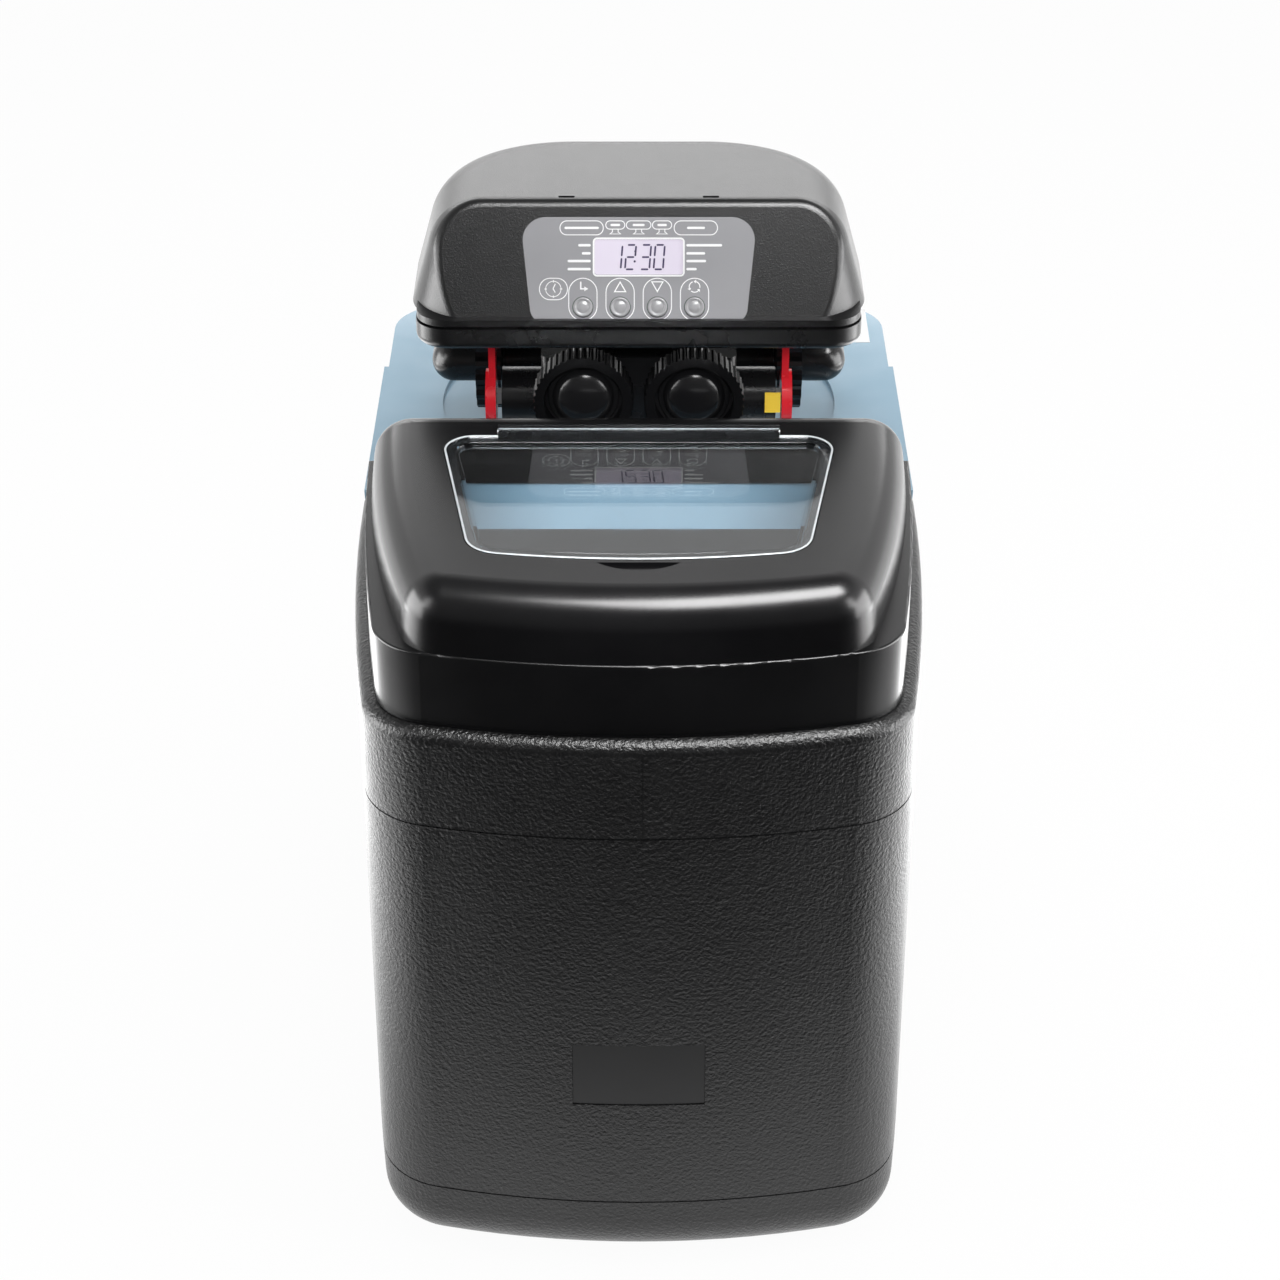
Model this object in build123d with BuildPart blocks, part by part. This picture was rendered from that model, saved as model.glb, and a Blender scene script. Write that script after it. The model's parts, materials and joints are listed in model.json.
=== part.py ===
# Cabinet water softener: moulded brine tank, salt lid with a clear hatch, resin tank and motorised valve.
# Depths are counted from the front of the cabinet, heights from the floor.
import os
from math import acos, cos, pi, radians, sin, sqrt, tan

from build123d import *

os.makedirs("parts", exist_ok=True)

# Fits shared by many pieces
seat_gap = 0.3
running_gap = 0.05
slide_gap = 0.5
overrun = 2.0

# Cabinet
body_width = 320.0
body_depth = 530.0
body_height = 347.0
body_wall = 5.0
floor_thickness = 6.0
front_bow = 21.0
front_corner_x = 140.5
widest_depth = 265.0
front_corner_radius = 42.0
rear_corner_radius = 40.0
base_radius = 30.0
shoulder_radius = 7.0
shoulder_depth = 14.0
rear_rim_drop = 17.0
rim_split_depth = 268.0
rim_split_slant = 8.0
neck_height = 11.0
neck_wall = 5.0
groove_width = 1.0
groove_depth = 0.5
upper_groove_height = 289.0
lower_groove_height = 45.0
label_width = 72.0
label_height = 41.0
label_bottom = 114.0
label_depth = 1.2
foot_gap_width = 58.0
foot_gap_height = 1.6

# Overflow fitting on the rear wall
overflow_height = 262.0
overflow_side_room = 68.0
overflow_x = body_width / 2 - overflow_side_room
overflow_radius = 8.0
overflow_bore = 5.5
overflow_reach = 26.0
overflow_drop = 14.0
overflow_flange_radius = 13.0
overflow_flange = 3.0
overflow_nut_radius = 14.0
overflow_nut_width = 7.0
overflow_tail = 12.0

overall_depth = body_depth + overflow_reach
front_y = -overall_depth / 2
rear_y = front_y + body_depth

# Salt lid
lid_inset = 7.5
lid_wall = 3.0
lid_rear_depth = 232.0
skirt_height = 42.0
dome_height = 35.0
dome_taper = 7.0
dome_setback = 0.9
dome_front_x = 117.5
dome_front_depth = 23.0
dome_side_x = 149.0
dome_front_radius = 28.0
dome_rear_radius = 24.0
dome_edge_radius = 20.0
dome_core_chamfer = 12.0
skirt_edge_radius = 1.2
lid_opening_half = 126.0
lid_opening_height = 27.0
lid_bottom = body_height + seat_gap
skirt_top = lid_bottom + skirt_height
lid_top = skirt_top + dome_height

# Hatch in the salt lid
hatch_thickness = 3.0
hatch_rear_depth = 193.6
hatch_front_depth = 55.0
hatch_bow = 8.5
hatch_rear_x = 108.5
hatch_front_x = 87.5
hatch_rear_radius = 16.0
hatch_front_radius = 20.0
hatch_ledge = 5.0
hatch_frame = 4.0
hatch_frame_depth = 3.4
hatch_side_gap = 0.6
hatch_rim_width = 2.0
hatch_rim_height = 3.0
hatch_rim_gap = 1.0
hinge_half_length = 77.0
hinge_depth = 203.5
hinge_barrel_radius = 2.6
hinge_pin_radius = 1.2
hinge_pin_bite = 7.0
finger_notch_width = 43.0
finger_notch_length = 8.0
finger_notch_depth = 2.0
finger_notch_gap = 3.0

# Rear shroud
shroud_inset = 0.8
shroud_step = 2.8
shroud_step_depth = 433.0
shroud_wall = 3.0
shroud_deck = 3.4
shroud_front_depth = 236.0
well_depth = 388.0
well_radius = 120.0
well_drop = 3.0
well_floor = 3.0
neck_opening_radius = 64.0
shroud_wall_drop = 40.0
shroud_wall_half = 138.0
shroud_rib_drop = 21.0
shroud_rib = 2.0

# Inner salt store
divider_thickness = 3.0
divider_rib = 3.0
divider_rib_count = 5
grid_height = 34.0
grid_thickness = 4.0
grid_hole = 12.0
grid_pitch = 26.0
grid_columns = 6
grid_rows = 4
grid_side_room = 42.0
grid_half = body_width / 2 - grid_side_room
grid_front_depth = 34.0
grid_leg_radius = 6.0
brine_well_depth = 190.0
brine_well_radius = 38.0
brine_well_room = 25.0
brine_well_x = brine_well_radius + brine_well_room + body_wall - body_width / 2
brine_well_wall = 3.0
brine_well_top = 318.0
brine_slot_width = 6.0
brine_slot_height = 60.0
brine_slot_count = 6
well_cap_thickness = 3.0
well_cap_lip = 10.0

# Float valve in the brine well
float_rod_radius = 2.5
float_radius = 20.0
float_stop = 2.5
float_stop_radius = 6.0
float_height = 42.0
float_edge_radius = 8.0
float_rest = 92.0
float_travel = 120.0
air_check_radius = 16.0
air_check_height = 38.0
air_check_foot = 6.0
air_check_foot_radius = 22.0
brine_line_radius = 4.8
brine_line_wall = 1.2
line_well_offset = 26.0
line_socket_radius = 7.0
line_socket_depth = 10.0
line_run_height = 296.0
line_side_room = 18.0
line_corner_room = 42.0
line_side_x = line_side_room - body_width / 2
line_corner_x = line_corner_room - body_width / 2
line_corner_depth = 500.0
line_hole_radius = 9.0
line_deck_height = 368.0
line_bend = 26.0
line_bend_share = 0.45

# Resin tank
resin_width_share = 0.4
resin_radius = body_width * resin_width_share
resin_wall = 3.5
resin_depth = well_depth
boot_inset = 16.0
boot_radius = resin_radius - boot_inset
boot_height = 26.0
boot_wall = 5.0
tank_lift = 4.0
tank_shoulder = 288.0
tank_neck_radius = 44.0
tank_neck_bore = 33.0
tank_neck_top = 366.0
tank_dome_top = 336.0
tank_bottom_rise = 46.0
riser_radius = 13.0
riser_wall = 2.0
basket_radius = 24.0
basket_height = 46.0
basket_slot = 2.4
basket_slot_count = 8
upper_basket_radius = 29.0
upper_basket_height = 34.0
resin_top = 262.0

# Valve body
collar_radius = 31.5
collar_length = 22.0
valve_flange_radius = 50.0
valve_flange = 9.0
valve_lug_count = 12
tower_half_x = 33.0
tower_half_y = 25.0
barrel_height = 480.0
barrel_radius = 25.0
barrel_bore = 19.0
barrel_reach = 68.0
barrel_length = 82.0
barrel_front_depth = resin_depth - barrel_reach
barrel_rear_depth = barrel_front_depth + barrel_length
barrel_end_wall = 4.0
stack_wall = 4.0
stack_ring_count = 5
stack_ring_gap = 4.0
piston_radius = 13.0
piston_length = 34.0
piston_start_gap = 3.0
rod_radius = 4.0
rod_reach = 24.0
rod_front_depth = barrel_front_depth - rod_reach

# Bypass manifold and its front ports
port_x = 31.5
port_height = 411.0
port_front_depth = 272.0
port_radius = 22.5
port_nut_radius = 28.5
port_nut_width = 15.0
port_nut_ribs = 44
port_nut_rib_depth = 0.9
port_cap_radius = 20.5
port_cap_dome_radius = 17.0
port_cap_flange = 3.0
port_cap_dome = 9.0
manifold_half_x = 56.0
manifold_front_depth = 284.0
manifold_bottom = 386.0
manifold_top = 428.0
manifold_edge = 5.0
rotor_depth = 300.0
rotor_height = 396.0
rotor_barrel_radius = 17.0
rotor_barrel_end = 79.0
rotor_radius = 11.0
rotor_length = 30.0
rotor_bore = 5.0
stem_radius = 5.0
handle_x = 82.5
handle_thickness = 6.0
handle_hub_radius = 16.0
handle_lever_length = 38.0
handle_lever_width = 13.0
handle_lever_thickness = 4.0
outlet_depth = 360.0
outlet_height = 391.0
outlet_radius = 13.0
outlet_bore = 9.0
outlet_flange_x = 80.0
union_nut_radius = 29.0
union_nut_start = 81.5
union_nut_width = 15.0
union_nut_ribs = 16
elbow_centre_x = 110.5
elbow_tail = 44.0
elbow_thread_radius = 13.2
elbow_thread_length = 12.0
turbine_radius = 7.8
turbine_length = 8.0
turbine_blades = 5
turbine_hub = 3.0
turbine_pin_radius = 1.0

# Drain and brine fittings at the back of the valve
fitting_x = 20.0
fitting_height = 424.0
fitting_radius = 8.0
fitting_bore = 4.0
fitting_length = 28.0
fitting_tail = 16.0
fitting_nut_radius = 10.0

# Tray, cover and control panel
tray_half_x = 125.5
tray_front_depth = 255.0
tray_rear_depth = 432.0
tray_bottom = 446.0
tray_height = 13.0
tray_wall = 2.5
tray_front_radius = 18.0
tray_rear_radius = 88.0
tray_edge_radius = 5.0
cover_half_x = 128.5
cover_front_depth = 258.0
cover_rear_depth = 434.0
cover_seam = 1.5
cover_lean = 30.0
cover_side_lean = 15.5
cover_top = 521.0
cover_rear_fall = 11.0
cover_wall = 2.5
cover_front_radius = 40.0
cover_rear_radius = 90.0
cover_crown_radius = 32.0
cover_face_radius = 6.0
crown_steepness = 0.97
cover_lip = 4.0
cover_lip_inset = 0.5
cover_flange = 2.0
cover_spigot = 3.0
clip_slot_width = 9.0
clip_slot_length = 3.0
clip_slot_x = 40.5
clip_slot_back = 6.0
panel_thickness = 0.8
panel_recess = 0.6
panel_top_half_x = 66.3
panel_bottom_half_x = 60.0
panel_start = 1.4
panel_height = 59.0
panel_top_radius = 13.0
panel_bottom_radius = 8.0
lcd_half_x = 25.0
lcd_height = 20.2
lcd_start = 28.0
lens_thickness = 1.6
button_spacing = 20.8
button_start = 10.1
button_radius = 5.6
button_height = 2.0
button_stem_radius = 2.2
button_travel = 0.8
button_dish_radius = 4.6
button_dish = 0.8
board_half_x = 58.0
board_start = 7.0
board_height = 43.0
board_thickness = 1.6
board_gap = 5.0
board_post_radius = 2.5
board_post_x = 54.0
board_post_inset = 4.0
power_inlet_length = 9.0
power_inlet_share = 0.7

# Gear drive
gear_module = 1.25
pinion_teeth = 9
wheel_teeth = 24
main_teeth = 32
gear_backlash = 0.34
mesh_gap = 0.15
gear_width = 5.0
gear_gap = 1.5
pressure_angle = 25.0
addendum_share = 0.85
dedendum_share = 1.1
flank_shares = (0.0, 0.5, 1.0)
axle_radius = 1.5
bracket_thickness = 3.0
bracket_half_height = 26.0
bracket_margin = 12.0
motor_radius = 17.5
motor_length = 42.0
motor_shaft_radius = 1.5
screw_radius = 1.4
screw_head_radius = 2.6
screw_head = 1.6
screw_length = 9.0


def at_depth(depth):
    """Y of a point this far behind the cabinet's front."""
    return front_y + depth


def facing(depth):
    """Plane seen from the front at a depth, with X to the right and Z up."""
    return Plane(origin=(0, at_depth(depth), 0), x_dir=(1, 0, 0), z_dir=(0, -1, 0))


def sideways(x):
    """Plane seen from the right at x, with Y to the right and Z up."""
    return Plane(origin=(x, 0, 0), x_dir=(0, 1, 0), z_dir=(1, 0, 0))


def level(height):
    """Horizontal plane at a height."""
    return Plane.XY.offset(height)


def cabinet_plan(inset):
    """Plan of the cabinet, drawn in from its outer wall."""
    with BuildSketch() as plan:
        with BuildLine():
            left_front = (-front_corner_x, at_depth(front_bow))
            right_front = (front_corner_x, at_depth(front_bow))
            left_side = (-body_width / 2, at_depth(widest_depth))
            right_side = (body_width / 2, at_depth(widest_depth))
            left_rear = (-body_width / 2, rear_y)
            right_rear = (body_width / 2, rear_y)
            ThreePointArc(left_front, (0, front_y), right_front)
            TangentArc(right_side, right_front, tangent=(0, -1))
            Line(right_side, right_rear)
            Line(right_rear, left_rear)
            Line(left_rear, left_side)
            TangentArc(left_side, left_front, tangent=(0, -1))
        make_face()
        fillet(vertices().group_by(Axis.Y)[0], front_corner_radius)
        fillet(vertices().group_by(Axis.Y)[-1], rear_corner_radius)
        if inset != 0:
            offset(amount=-inset, mode=Mode.REPLACE)
    return plan.sketch


def half_space(near_depth, far_depth):
    """Wide rectangle in plan between two depths."""
    with BuildSketch() as region:
        with Locations((0, at_depth((near_depth + far_depth) / 2))):
            Rectangle(body_width * 2, far_depth - near_depth)
    return region.sketch


def dome_plan(inset):
    """Plan of the lid's dome at its foot."""
    with BuildSketch() as plan:
        with BuildLine():
            left_front = (-dome_front_x + inset, at_depth(dome_front_depth + inset))
            right_front = (dome_front_x - inset, at_depth(dome_front_depth + inset))
            left_rear = (-dome_side_x + inset, at_depth(lid_rear_depth - inset))
            right_rear = (dome_side_x - inset, at_depth(lid_rear_depth - inset))
            ThreePointArc(left_front, (0, at_depth(lid_inset + dome_setback + inset)), right_front)
            TangentArc(right_rear, right_front, tangent=(0, -1))
            Line(right_rear, left_rear)
            TangentArc(left_rear, left_front, tangent=(0, -1))
        make_face()
        fillet(vertices().group_by(Axis.Y)[0], dome_front_radius - inset)
        fillet(vertices().group_by(Axis.Y)[-1], dome_rear_radius - inset)
    return plan.sketch


def hatch_plan(inset):
    """Plan of the hatch without its hinge tab."""
    with BuildSketch() as plan:
        with BuildLine():
            left_front = (-hatch_front_x, at_depth(hatch_front_depth + hatch_bow))
            right_front = (hatch_front_x, at_depth(hatch_front_depth + hatch_bow))
            left_rear = (-hatch_rear_x, at_depth(hatch_rear_depth))
            right_rear = (hatch_rear_x, at_depth(hatch_rear_depth))
            ThreePointArc(left_front, (0, at_depth(hatch_front_depth)), right_front)
            Line(right_front, right_rear)
            Line(right_rear, left_rear)
            Line(left_rear, left_front)
        make_face()
        fillet(vertices().group_by(Axis.Y)[0], hatch_front_radius)
        fillet(vertices().group_by(Axis.Y)[-1], hatch_rear_radius)
        if inset != 0:
            offset(amount=-inset, mode=Mode.REPLACE)
    return plan.sketch


def gear_plan(teeth, bore, gap_at_half_turn):
    """Involute gear outline with a bore, a tooth or a gap facing its neighbour."""
    pitch = gear_module * teeth / 2
    tip = pitch + gear_module * addendum_share
    root = pitch - gear_module * dedendum_share
    base = pitch * cos(radians(pressure_angle))
    half_tooth = (pi * gear_module - gear_backlash) / (4 * pitch)
    involute_pitch = tan(radians(pressure_angle)) - radians(pressure_angle)
    low = max(base, root)
    flank = []
    for share in flank_shares:
        radius = low + (tip - low) * share
        roll = acos(min(1, base / radius))
        flank.append((radius, half_tooth + involute_pitch - (tan(roll) - roll)))
    if root < low:
        flank.insert(0, (root, flank[0][1]))
    step = 2 * pi / teeth
    start = pi + step / 2 if gap_at_half_turn else 0
    points = []
    for index in range(teeth):
        middle = start + index * step
        for radius, half in flank:
            points.append((radius * cos(middle - half), radius * sin(middle - half)))
        for radius, half in reversed(flank):
            points.append((radius * cos(middle + half), radius * sin(middle + half)))
    with BuildSketch() as plan:
        with BuildLine():
            Polyline(*points, close=True)
        make_face()
        if bore > 0:
            Circle(bore, mode=Mode.SUBTRACT)
    return plan.sketch


def ribbed_ring(radius, rib_depth, ribs, bore):
    """Ring with shallow grip ribs round its rim."""
    points = []
    for index in range(ribs * 4):
        angle = 2 * pi * index / (ribs * 4)
        reach = radius if index % 4 < 2 else radius - rib_depth
        points.append((reach * cos(angle), reach * sin(angle)))
    with BuildSketch() as plan:
        with BuildLine():
            Polyline(*points, close=True)
        make_face()
        Circle(bore, mode=Mode.SUBTRACT)
    return plan.sketch


outer_plan = cabinet_plan(0)
neck_inset = lid_inset + lid_wall + slide_gap
front_region = half_space(-overrun, lid_rear_depth)
rear_top = body_height - rear_rim_drop

line_well_x = brine_well_x - line_well_offset
bracket_screw_offset = (barrel_radius + barrel_bore) / 2

# Brine tank
with BuildPart() as tank_core:
    with BuildSketch(level(floor_thickness)):
        add(cabinet_plan(body_wall))
    extrude(amount=body_height - shoulder_depth - floor_thickness)
    fillet(faces().sort_by(Axis.Z)[0].edges(), base_radius - body_wall)
    with BuildSketch(level(body_height - shoulder_depth)):
        add(cabinet_plan(neck_inset + neck_wall))
    extrude(amount=shoulder_depth + neck_height + overrun)

with BuildPart() as brine_tank:
    with BuildSketch():
        add(outer_plan)
    extrude(amount=body_height)
    fillet(faces().sort_by(Axis.Z)[0].edges(), base_radius)
    fillet(faces().sort_by(Axis.Z)[-1].edges(), shoulder_radius)
    with BuildSketch(level(body_height)):
        add(cabinet_plan(neck_inset))
        add(half_space(-overrun, lid_rear_depth - lid_wall - slide_gap), mode=Mode.INTERSECT)
    extrude(amount=neck_height)
    add(tank_core.part, mode=Mode.SUBTRACT)
    # Lower rim at the rear, where the shroud sits
    with BuildSketch(Plane.YZ):
        with BuildLine():
            Polyline(
                (at_depth(rim_split_depth), body_height + overrun),
                (at_depth(rim_split_depth + rim_split_slant), rear_top),
                (rear_y + overrun, rear_top),
                (rear_y + overrun, body_height + overrun),
                close=True,
            )
        make_face()
    extrude(amount=body_width, both=True, mode=Mode.SUBTRACT)
    # Moulding lines round the wall
    for groove_height in (lower_groove_height, upper_groove_height):
        with BuildSketch(level(groove_height)):
            add(cabinet_plan(-overrun))
            add(cabinet_plan(groove_depth), mode=Mode.SUBTRACT)
        extrude(amount=groove_width, mode=Mode.SUBTRACT)
    # Bare label recess that follows the bowed front
    with BuildSketch(level(label_bottom)):
        with Locations((0, at_depth(0))):
            Rectangle(label_width, body_wall * 2)
        add(cabinet_plan(label_depth), mode=Mode.SUBTRACT)
    extrude(amount=label_height, mode=Mode.SUBTRACT)
    # Shallow arch between the two foot zones
    with BuildSketch(Plane.XZ):
        with BuildLine():
            Line((-foot_gap_width / 2, 0), (foot_gap_width / 2, 0))
            ThreePointArc((foot_gap_width / 2, 0), (0, foot_gap_height), (-foot_gap_width / 2, 0))
        make_face()
    extrude(amount=body_depth, both=True, mode=Mode.SUBTRACT)
    # Hole for the overflow fitting
    with BuildSketch(facing(body_depth)):
        with Locations((overflow_x, overflow_height)):
            Circle(overflow_radius + seat_gap)
    extrude(amount=body_wall * 2, both=True, mode=Mode.SUBTRACT)
brine_tank.part.label = "brine_tank"
export_step(brine_tank.part, "parts/brine_tank.step")

# Rear shroud
deck_top = lid_bottom + shroud_deck
split_start = rim_split_depth + seat_gap
with BuildPart() as shroud_core:
    with BuildSketch(level(rear_top - overrun)):
        add(cabinet_plan(shroud_inset + shroud_step + shroud_wall))
    extrude(amount=lid_bottom - rear_top + overrun)

with BuildPart() as rear_shroud:
    with BuildSketch(level(rear_top + seat_gap)):
        add(cabinet_plan(shroud_inset))
        add(half_space(rim_split_depth, shroud_step_depth), mode=Mode.INTERSECT)
    extrude(amount=deck_top - rear_top - seat_gap)
    with BuildSketch(level(rear_top + seat_gap)):
        add(cabinet_plan(shroud_inset + shroud_step))
        add(half_space(shroud_step_depth, body_depth), mode=Mode.INTERSECT)
    extrude(amount=deck_top - rear_top - seat_gap)
    add(shroud_core.part, mode=Mode.SUBTRACT)
    # Slanted front ends of the skirt
    with BuildSketch(Plane.YZ):
        with BuildLine():
            Polyline(
                (at_depth(split_start - overrun), deck_top + overrun),
                (at_depth(split_start), deck_top + overrun),
                (at_depth(split_start), body_height + overrun),
                (at_depth(split_start + rim_split_slant), rear_top),
                (at_depth(split_start - overrun), rear_top),
                close=True,
            )
        make_face()
    extrude(amount=body_width, both=True, mode=Mode.SUBTRACT)
    # Deck tongue that runs forward under the lid
    with BuildSketch(level(lid_bottom)):
        add(cabinet_plan(neck_inset))
        add(half_space(shroud_front_depth, split_start + rim_split_slant), mode=Mode.INTERSECT)
    extrude(amount=shroud_deck)
    # Front wall with its moulded step, and the upstand behind the lid
    with BuildSketch(level(lid_bottom - shroud_wall_drop)):
        with Locations((0, at_depth(shroud_front_depth + shroud_wall / 2))):
            Rectangle(shroud_wall_half * 2, shroud_wall)
    extrude(amount=shroud_wall_drop)
    with BuildSketch(level(lid_bottom)):
        with Locations((0, at_depth(shroud_front_depth + shroud_wall / 2))):
            Rectangle(lid_opening_half * 2, shroud_wall)
    extrude(amount=lid_opening_height)
    with BuildSketch(level(lid_bottom - shroud_wall_drop)):
        with Locations((0, at_depth(shroud_front_depth + (shroud_wall + shroud_rib) / 2))):
            Rectangle(shroud_wall_half * 2, shroud_wall + shroud_rib)
    extrude(amount=shroud_wall_drop - shroud_rib_drop)
    # Round well about the tank neck
    with BuildSketch(level(deck_top - well_drop - well_floor)):
        with Locations((0, at_depth(well_depth))):
            Circle(well_radius + shroud_wall)
    extrude(amount=well_floor + well_drop)
    with BuildSketch(level(deck_top - well_drop)):
        with Locations((0, at_depth(well_depth))):
            Circle(well_radius)
    extrude(amount=well_drop, mode=Mode.SUBTRACT)
    with BuildSketch(level(rear_top)):
        with Locations((0, at_depth(well_depth))):
            Circle(neck_opening_radius)
        with Locations((line_corner_x, at_depth(line_corner_depth))):
            Circle(line_hole_radius)
    extrude(amount=deck_top, mode=Mode.SUBTRACT)
rear_shroud.part.label = "rear_shroud"
export_step(rear_shroud.part, "parts/rear_shroud.step")

# Salt lid
hinge_height = lid_top - hinge_barrel_radius - seat_gap / 2
frame_bottom = lid_top - hatch_thickness - seat_gap - hatch_frame_depth
hatch_top = lid_top
hatch_bottom = hatch_top - hatch_thickness

with BuildPart() as lid_core:
    with BuildSketch(level(lid_bottom - overrun)):
        add(cabinet_plan(lid_inset + lid_wall))
        add(half_space(-overrun, lid_rear_depth - lid_wall), mode=Mode.INTERSECT)
    extrude(amount=skirt_height + overrun - lid_wall)
    with BuildSketch(level(skirt_top - lid_wall * 2)):
        add(dome_plan(lid_wall))
    extrude(amount=lid_wall)
    with BuildSketch(level(skirt_top - lid_wall)):
        add(dome_plan(lid_wall))
    extrude(amount=dome_height, taper=dome_taper)
    chamfer(faces().sort_by(Axis.Z)[-1].edges(), dome_core_chamfer)

with BuildPart() as salt_lid:
    with BuildSketch(level(lid_bottom)):
        add(cabinet_plan(lid_inset))
        add(front_region, mode=Mode.INTERSECT)
    extrude(amount=skirt_height)
    fillet(faces().sort_by(Axis.Z)[-1].edges(), skirt_edge_radius)
    with BuildSketch(level(skirt_top - skirt_edge_radius)):
        add(dome_plan(0))
    extrude(amount=dome_height + skirt_edge_radius, taper=dome_taper)
    fillet(faces().sort_by(Axis.Z)[-1].edges(), dome_edge_radius)
    add(lid_core.part, mode=Mode.SUBTRACT)
    # Rear wall stops short, above the shroud's upstand
    with BuildSketch(level(lid_bottom - overrun)):
        with Locations((0, at_depth(lid_rear_depth))):
            Rectangle(lid_opening_half * 2, lid_wall * 4)
    extrude(amount=lid_opening_height + overrun, mode=Mode.SUBTRACT)
    # Frame that carries the hatch
    with BuildSketch(level(frame_bottom)):
        add(hatch_plan(-hatch_frame))
        with Locations((0, at_depth(hinge_depth))):
            Rectangle((hinge_half_length + hinge_pin_bite + lid_wall) * 2, hatch_frame * 3)
    extrude(amount=lid_top - lid_wall - frame_bottom)
    with BuildSketch(level(hatch_bottom - seat_gap)):
        add(hatch_plan(-hatch_side_gap))
        with Locations((0, at_depth(hatch_rear_depth))):
            Rectangle((hinge_half_length + hatch_side_gap) * 2, (hinge_depth - hatch_rear_depth) * 2)
    extrude(amount=hatch_thickness * 2, mode=Mode.SUBTRACT)
    with BuildSketch(level(frame_bottom - overrun)):
        add(hatch_plan(hatch_ledge))
    extrude(amount=dome_height, mode=Mode.SUBTRACT)
    # Trough and pin holes for the hinge
    with BuildSketch(sideways(-hinge_half_length - hatch_side_gap)):
        with Locations((at_depth(hinge_depth), hinge_height)):
            Circle(hinge_barrel_radius + slide_gap)
        with Locations((at_depth(hinge_depth), hinge_height + hinge_barrel_radius)):
            Rectangle((hinge_barrel_radius + slide_gap) * 2, hinge_barrel_radius * 2)
    extrude(amount=(hinge_half_length + hatch_side_gap) * 2, mode=Mode.SUBTRACT)
    with BuildSketch(sideways(-hinge_half_length - hinge_pin_bite)):
        with Locations((at_depth(hinge_depth), hinge_height)):
            Circle(hinge_pin_radius + running_gap)
    extrude(amount=(hinge_half_length + hinge_pin_bite) * 2, mode=Mode.SUBTRACT)
    # Lens-shaped finger notch in front of the hatch
    notch_rear = at_depth(hatch_front_depth - finger_notch_gap)
    with BuildSketch(level(lid_top - finger_notch_depth)):
        with BuildLine():
            notch_left = (-finger_notch_width / 2, notch_rear)
            notch_right = (finger_notch_width / 2, notch_rear)
            ThreePointArc(notch_left, (0, notch_rear - finger_notch_length), notch_right)
            Line(notch_right, notch_left)
        make_face()
    extrude(amount=finger_notch_depth + overrun, mode=Mode.SUBTRACT)
salt_lid.part.label = "salt_lid"
export_step(salt_lid.part, "parts/salt_lid.step")

# Hatch window
with BuildPart() as hatch_window:
    with BuildSketch(level(hatch_bottom)):
        add(hatch_plan(0))
        with Locations((0, at_depth((hatch_rear_depth + hinge_depth) / 2))):
            Rectangle(hinge_half_length * 2, hinge_depth - hatch_rear_depth)
    extrude(amount=hatch_thickness)
    with BuildSketch(sideways(-hinge_half_length)):
        with Locations((at_depth(hinge_depth), hinge_height)):
            Circle(hinge_barrel_radius)
    extrude(amount=hinge_half_length * 2)
    with BuildSketch(level(hatch_bottom - hatch_rim_height)):
        add(hatch_plan(hatch_ledge + hatch_rim_gap))
        add(hatch_plan(hatch_ledge + hatch_rim_gap + hatch_rim_width), mode=Mode.SUBTRACT)
    extrude(amount=hatch_rim_height)
    with BuildSketch(sideways(-hinge_half_length)):
        with Locations((at_depth(hinge_depth), hinge_height)):
            Circle(hinge_pin_radius + running_gap)
    extrude(amount=hinge_half_length * 2, mode=Mode.SUBTRACT)
hatch_window.part.label = "hatch_window"
export_step(hatch_window.part, "parts/hatch_window.step")

pin_half = hinge_half_length + hinge_pin_bite - seat_gap
with BuildPart() as hatch_hinge_pin:
    with BuildSketch(sideways(-pin_half)):
        with Locations((at_depth(hinge_depth), hinge_height)):
            Circle(hinge_pin_radius)
    extrude(amount=pin_half * 2)
hatch_hinge_pin.part.label = "hatch_hinge_pin"
export_step(hatch_hinge_pin.part, "parts/hatch_hinge_pin.step")

# Divider between the salt and the resin tank
divider_top = lid_bottom - shroud_wall_drop - seat_gap
divider_half = body_width / 2 - base_radius
with BuildPart() as salt_divider:
    with BuildSketch(level(floor_thickness + seat_gap)):
        with Locations((0, at_depth(shroud_front_depth + divider_thickness / 2))):
            Rectangle(divider_half * 2, divider_thickness)
    extrude(amount=divider_top - floor_thickness - seat_gap)
    with BuildSketch(level(floor_thickness + seat_gap)):
        with Locations((0, at_depth(shroud_front_depth + divider_thickness + divider_rib / 2))):
            with GridLocations(divider_half * 2 / divider_rib_count, 0, divider_rib_count, 1):
                Rectangle(divider_rib, divider_rib)
    extrude(amount=divider_top - floor_thickness - seat_gap)
    with BuildSketch(facing(shroud_front_depth)):
        with Locations((line_well_x, line_run_height)):
            Circle(brine_line_radius + slide_gap)
    extrude(amount=-(divider_thickness + divider_rib), mode=Mode.SUBTRACT)
salt_divider.part.label = "salt_divider"
export_step(salt_divider.part, "parts/salt_divider.step")

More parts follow.
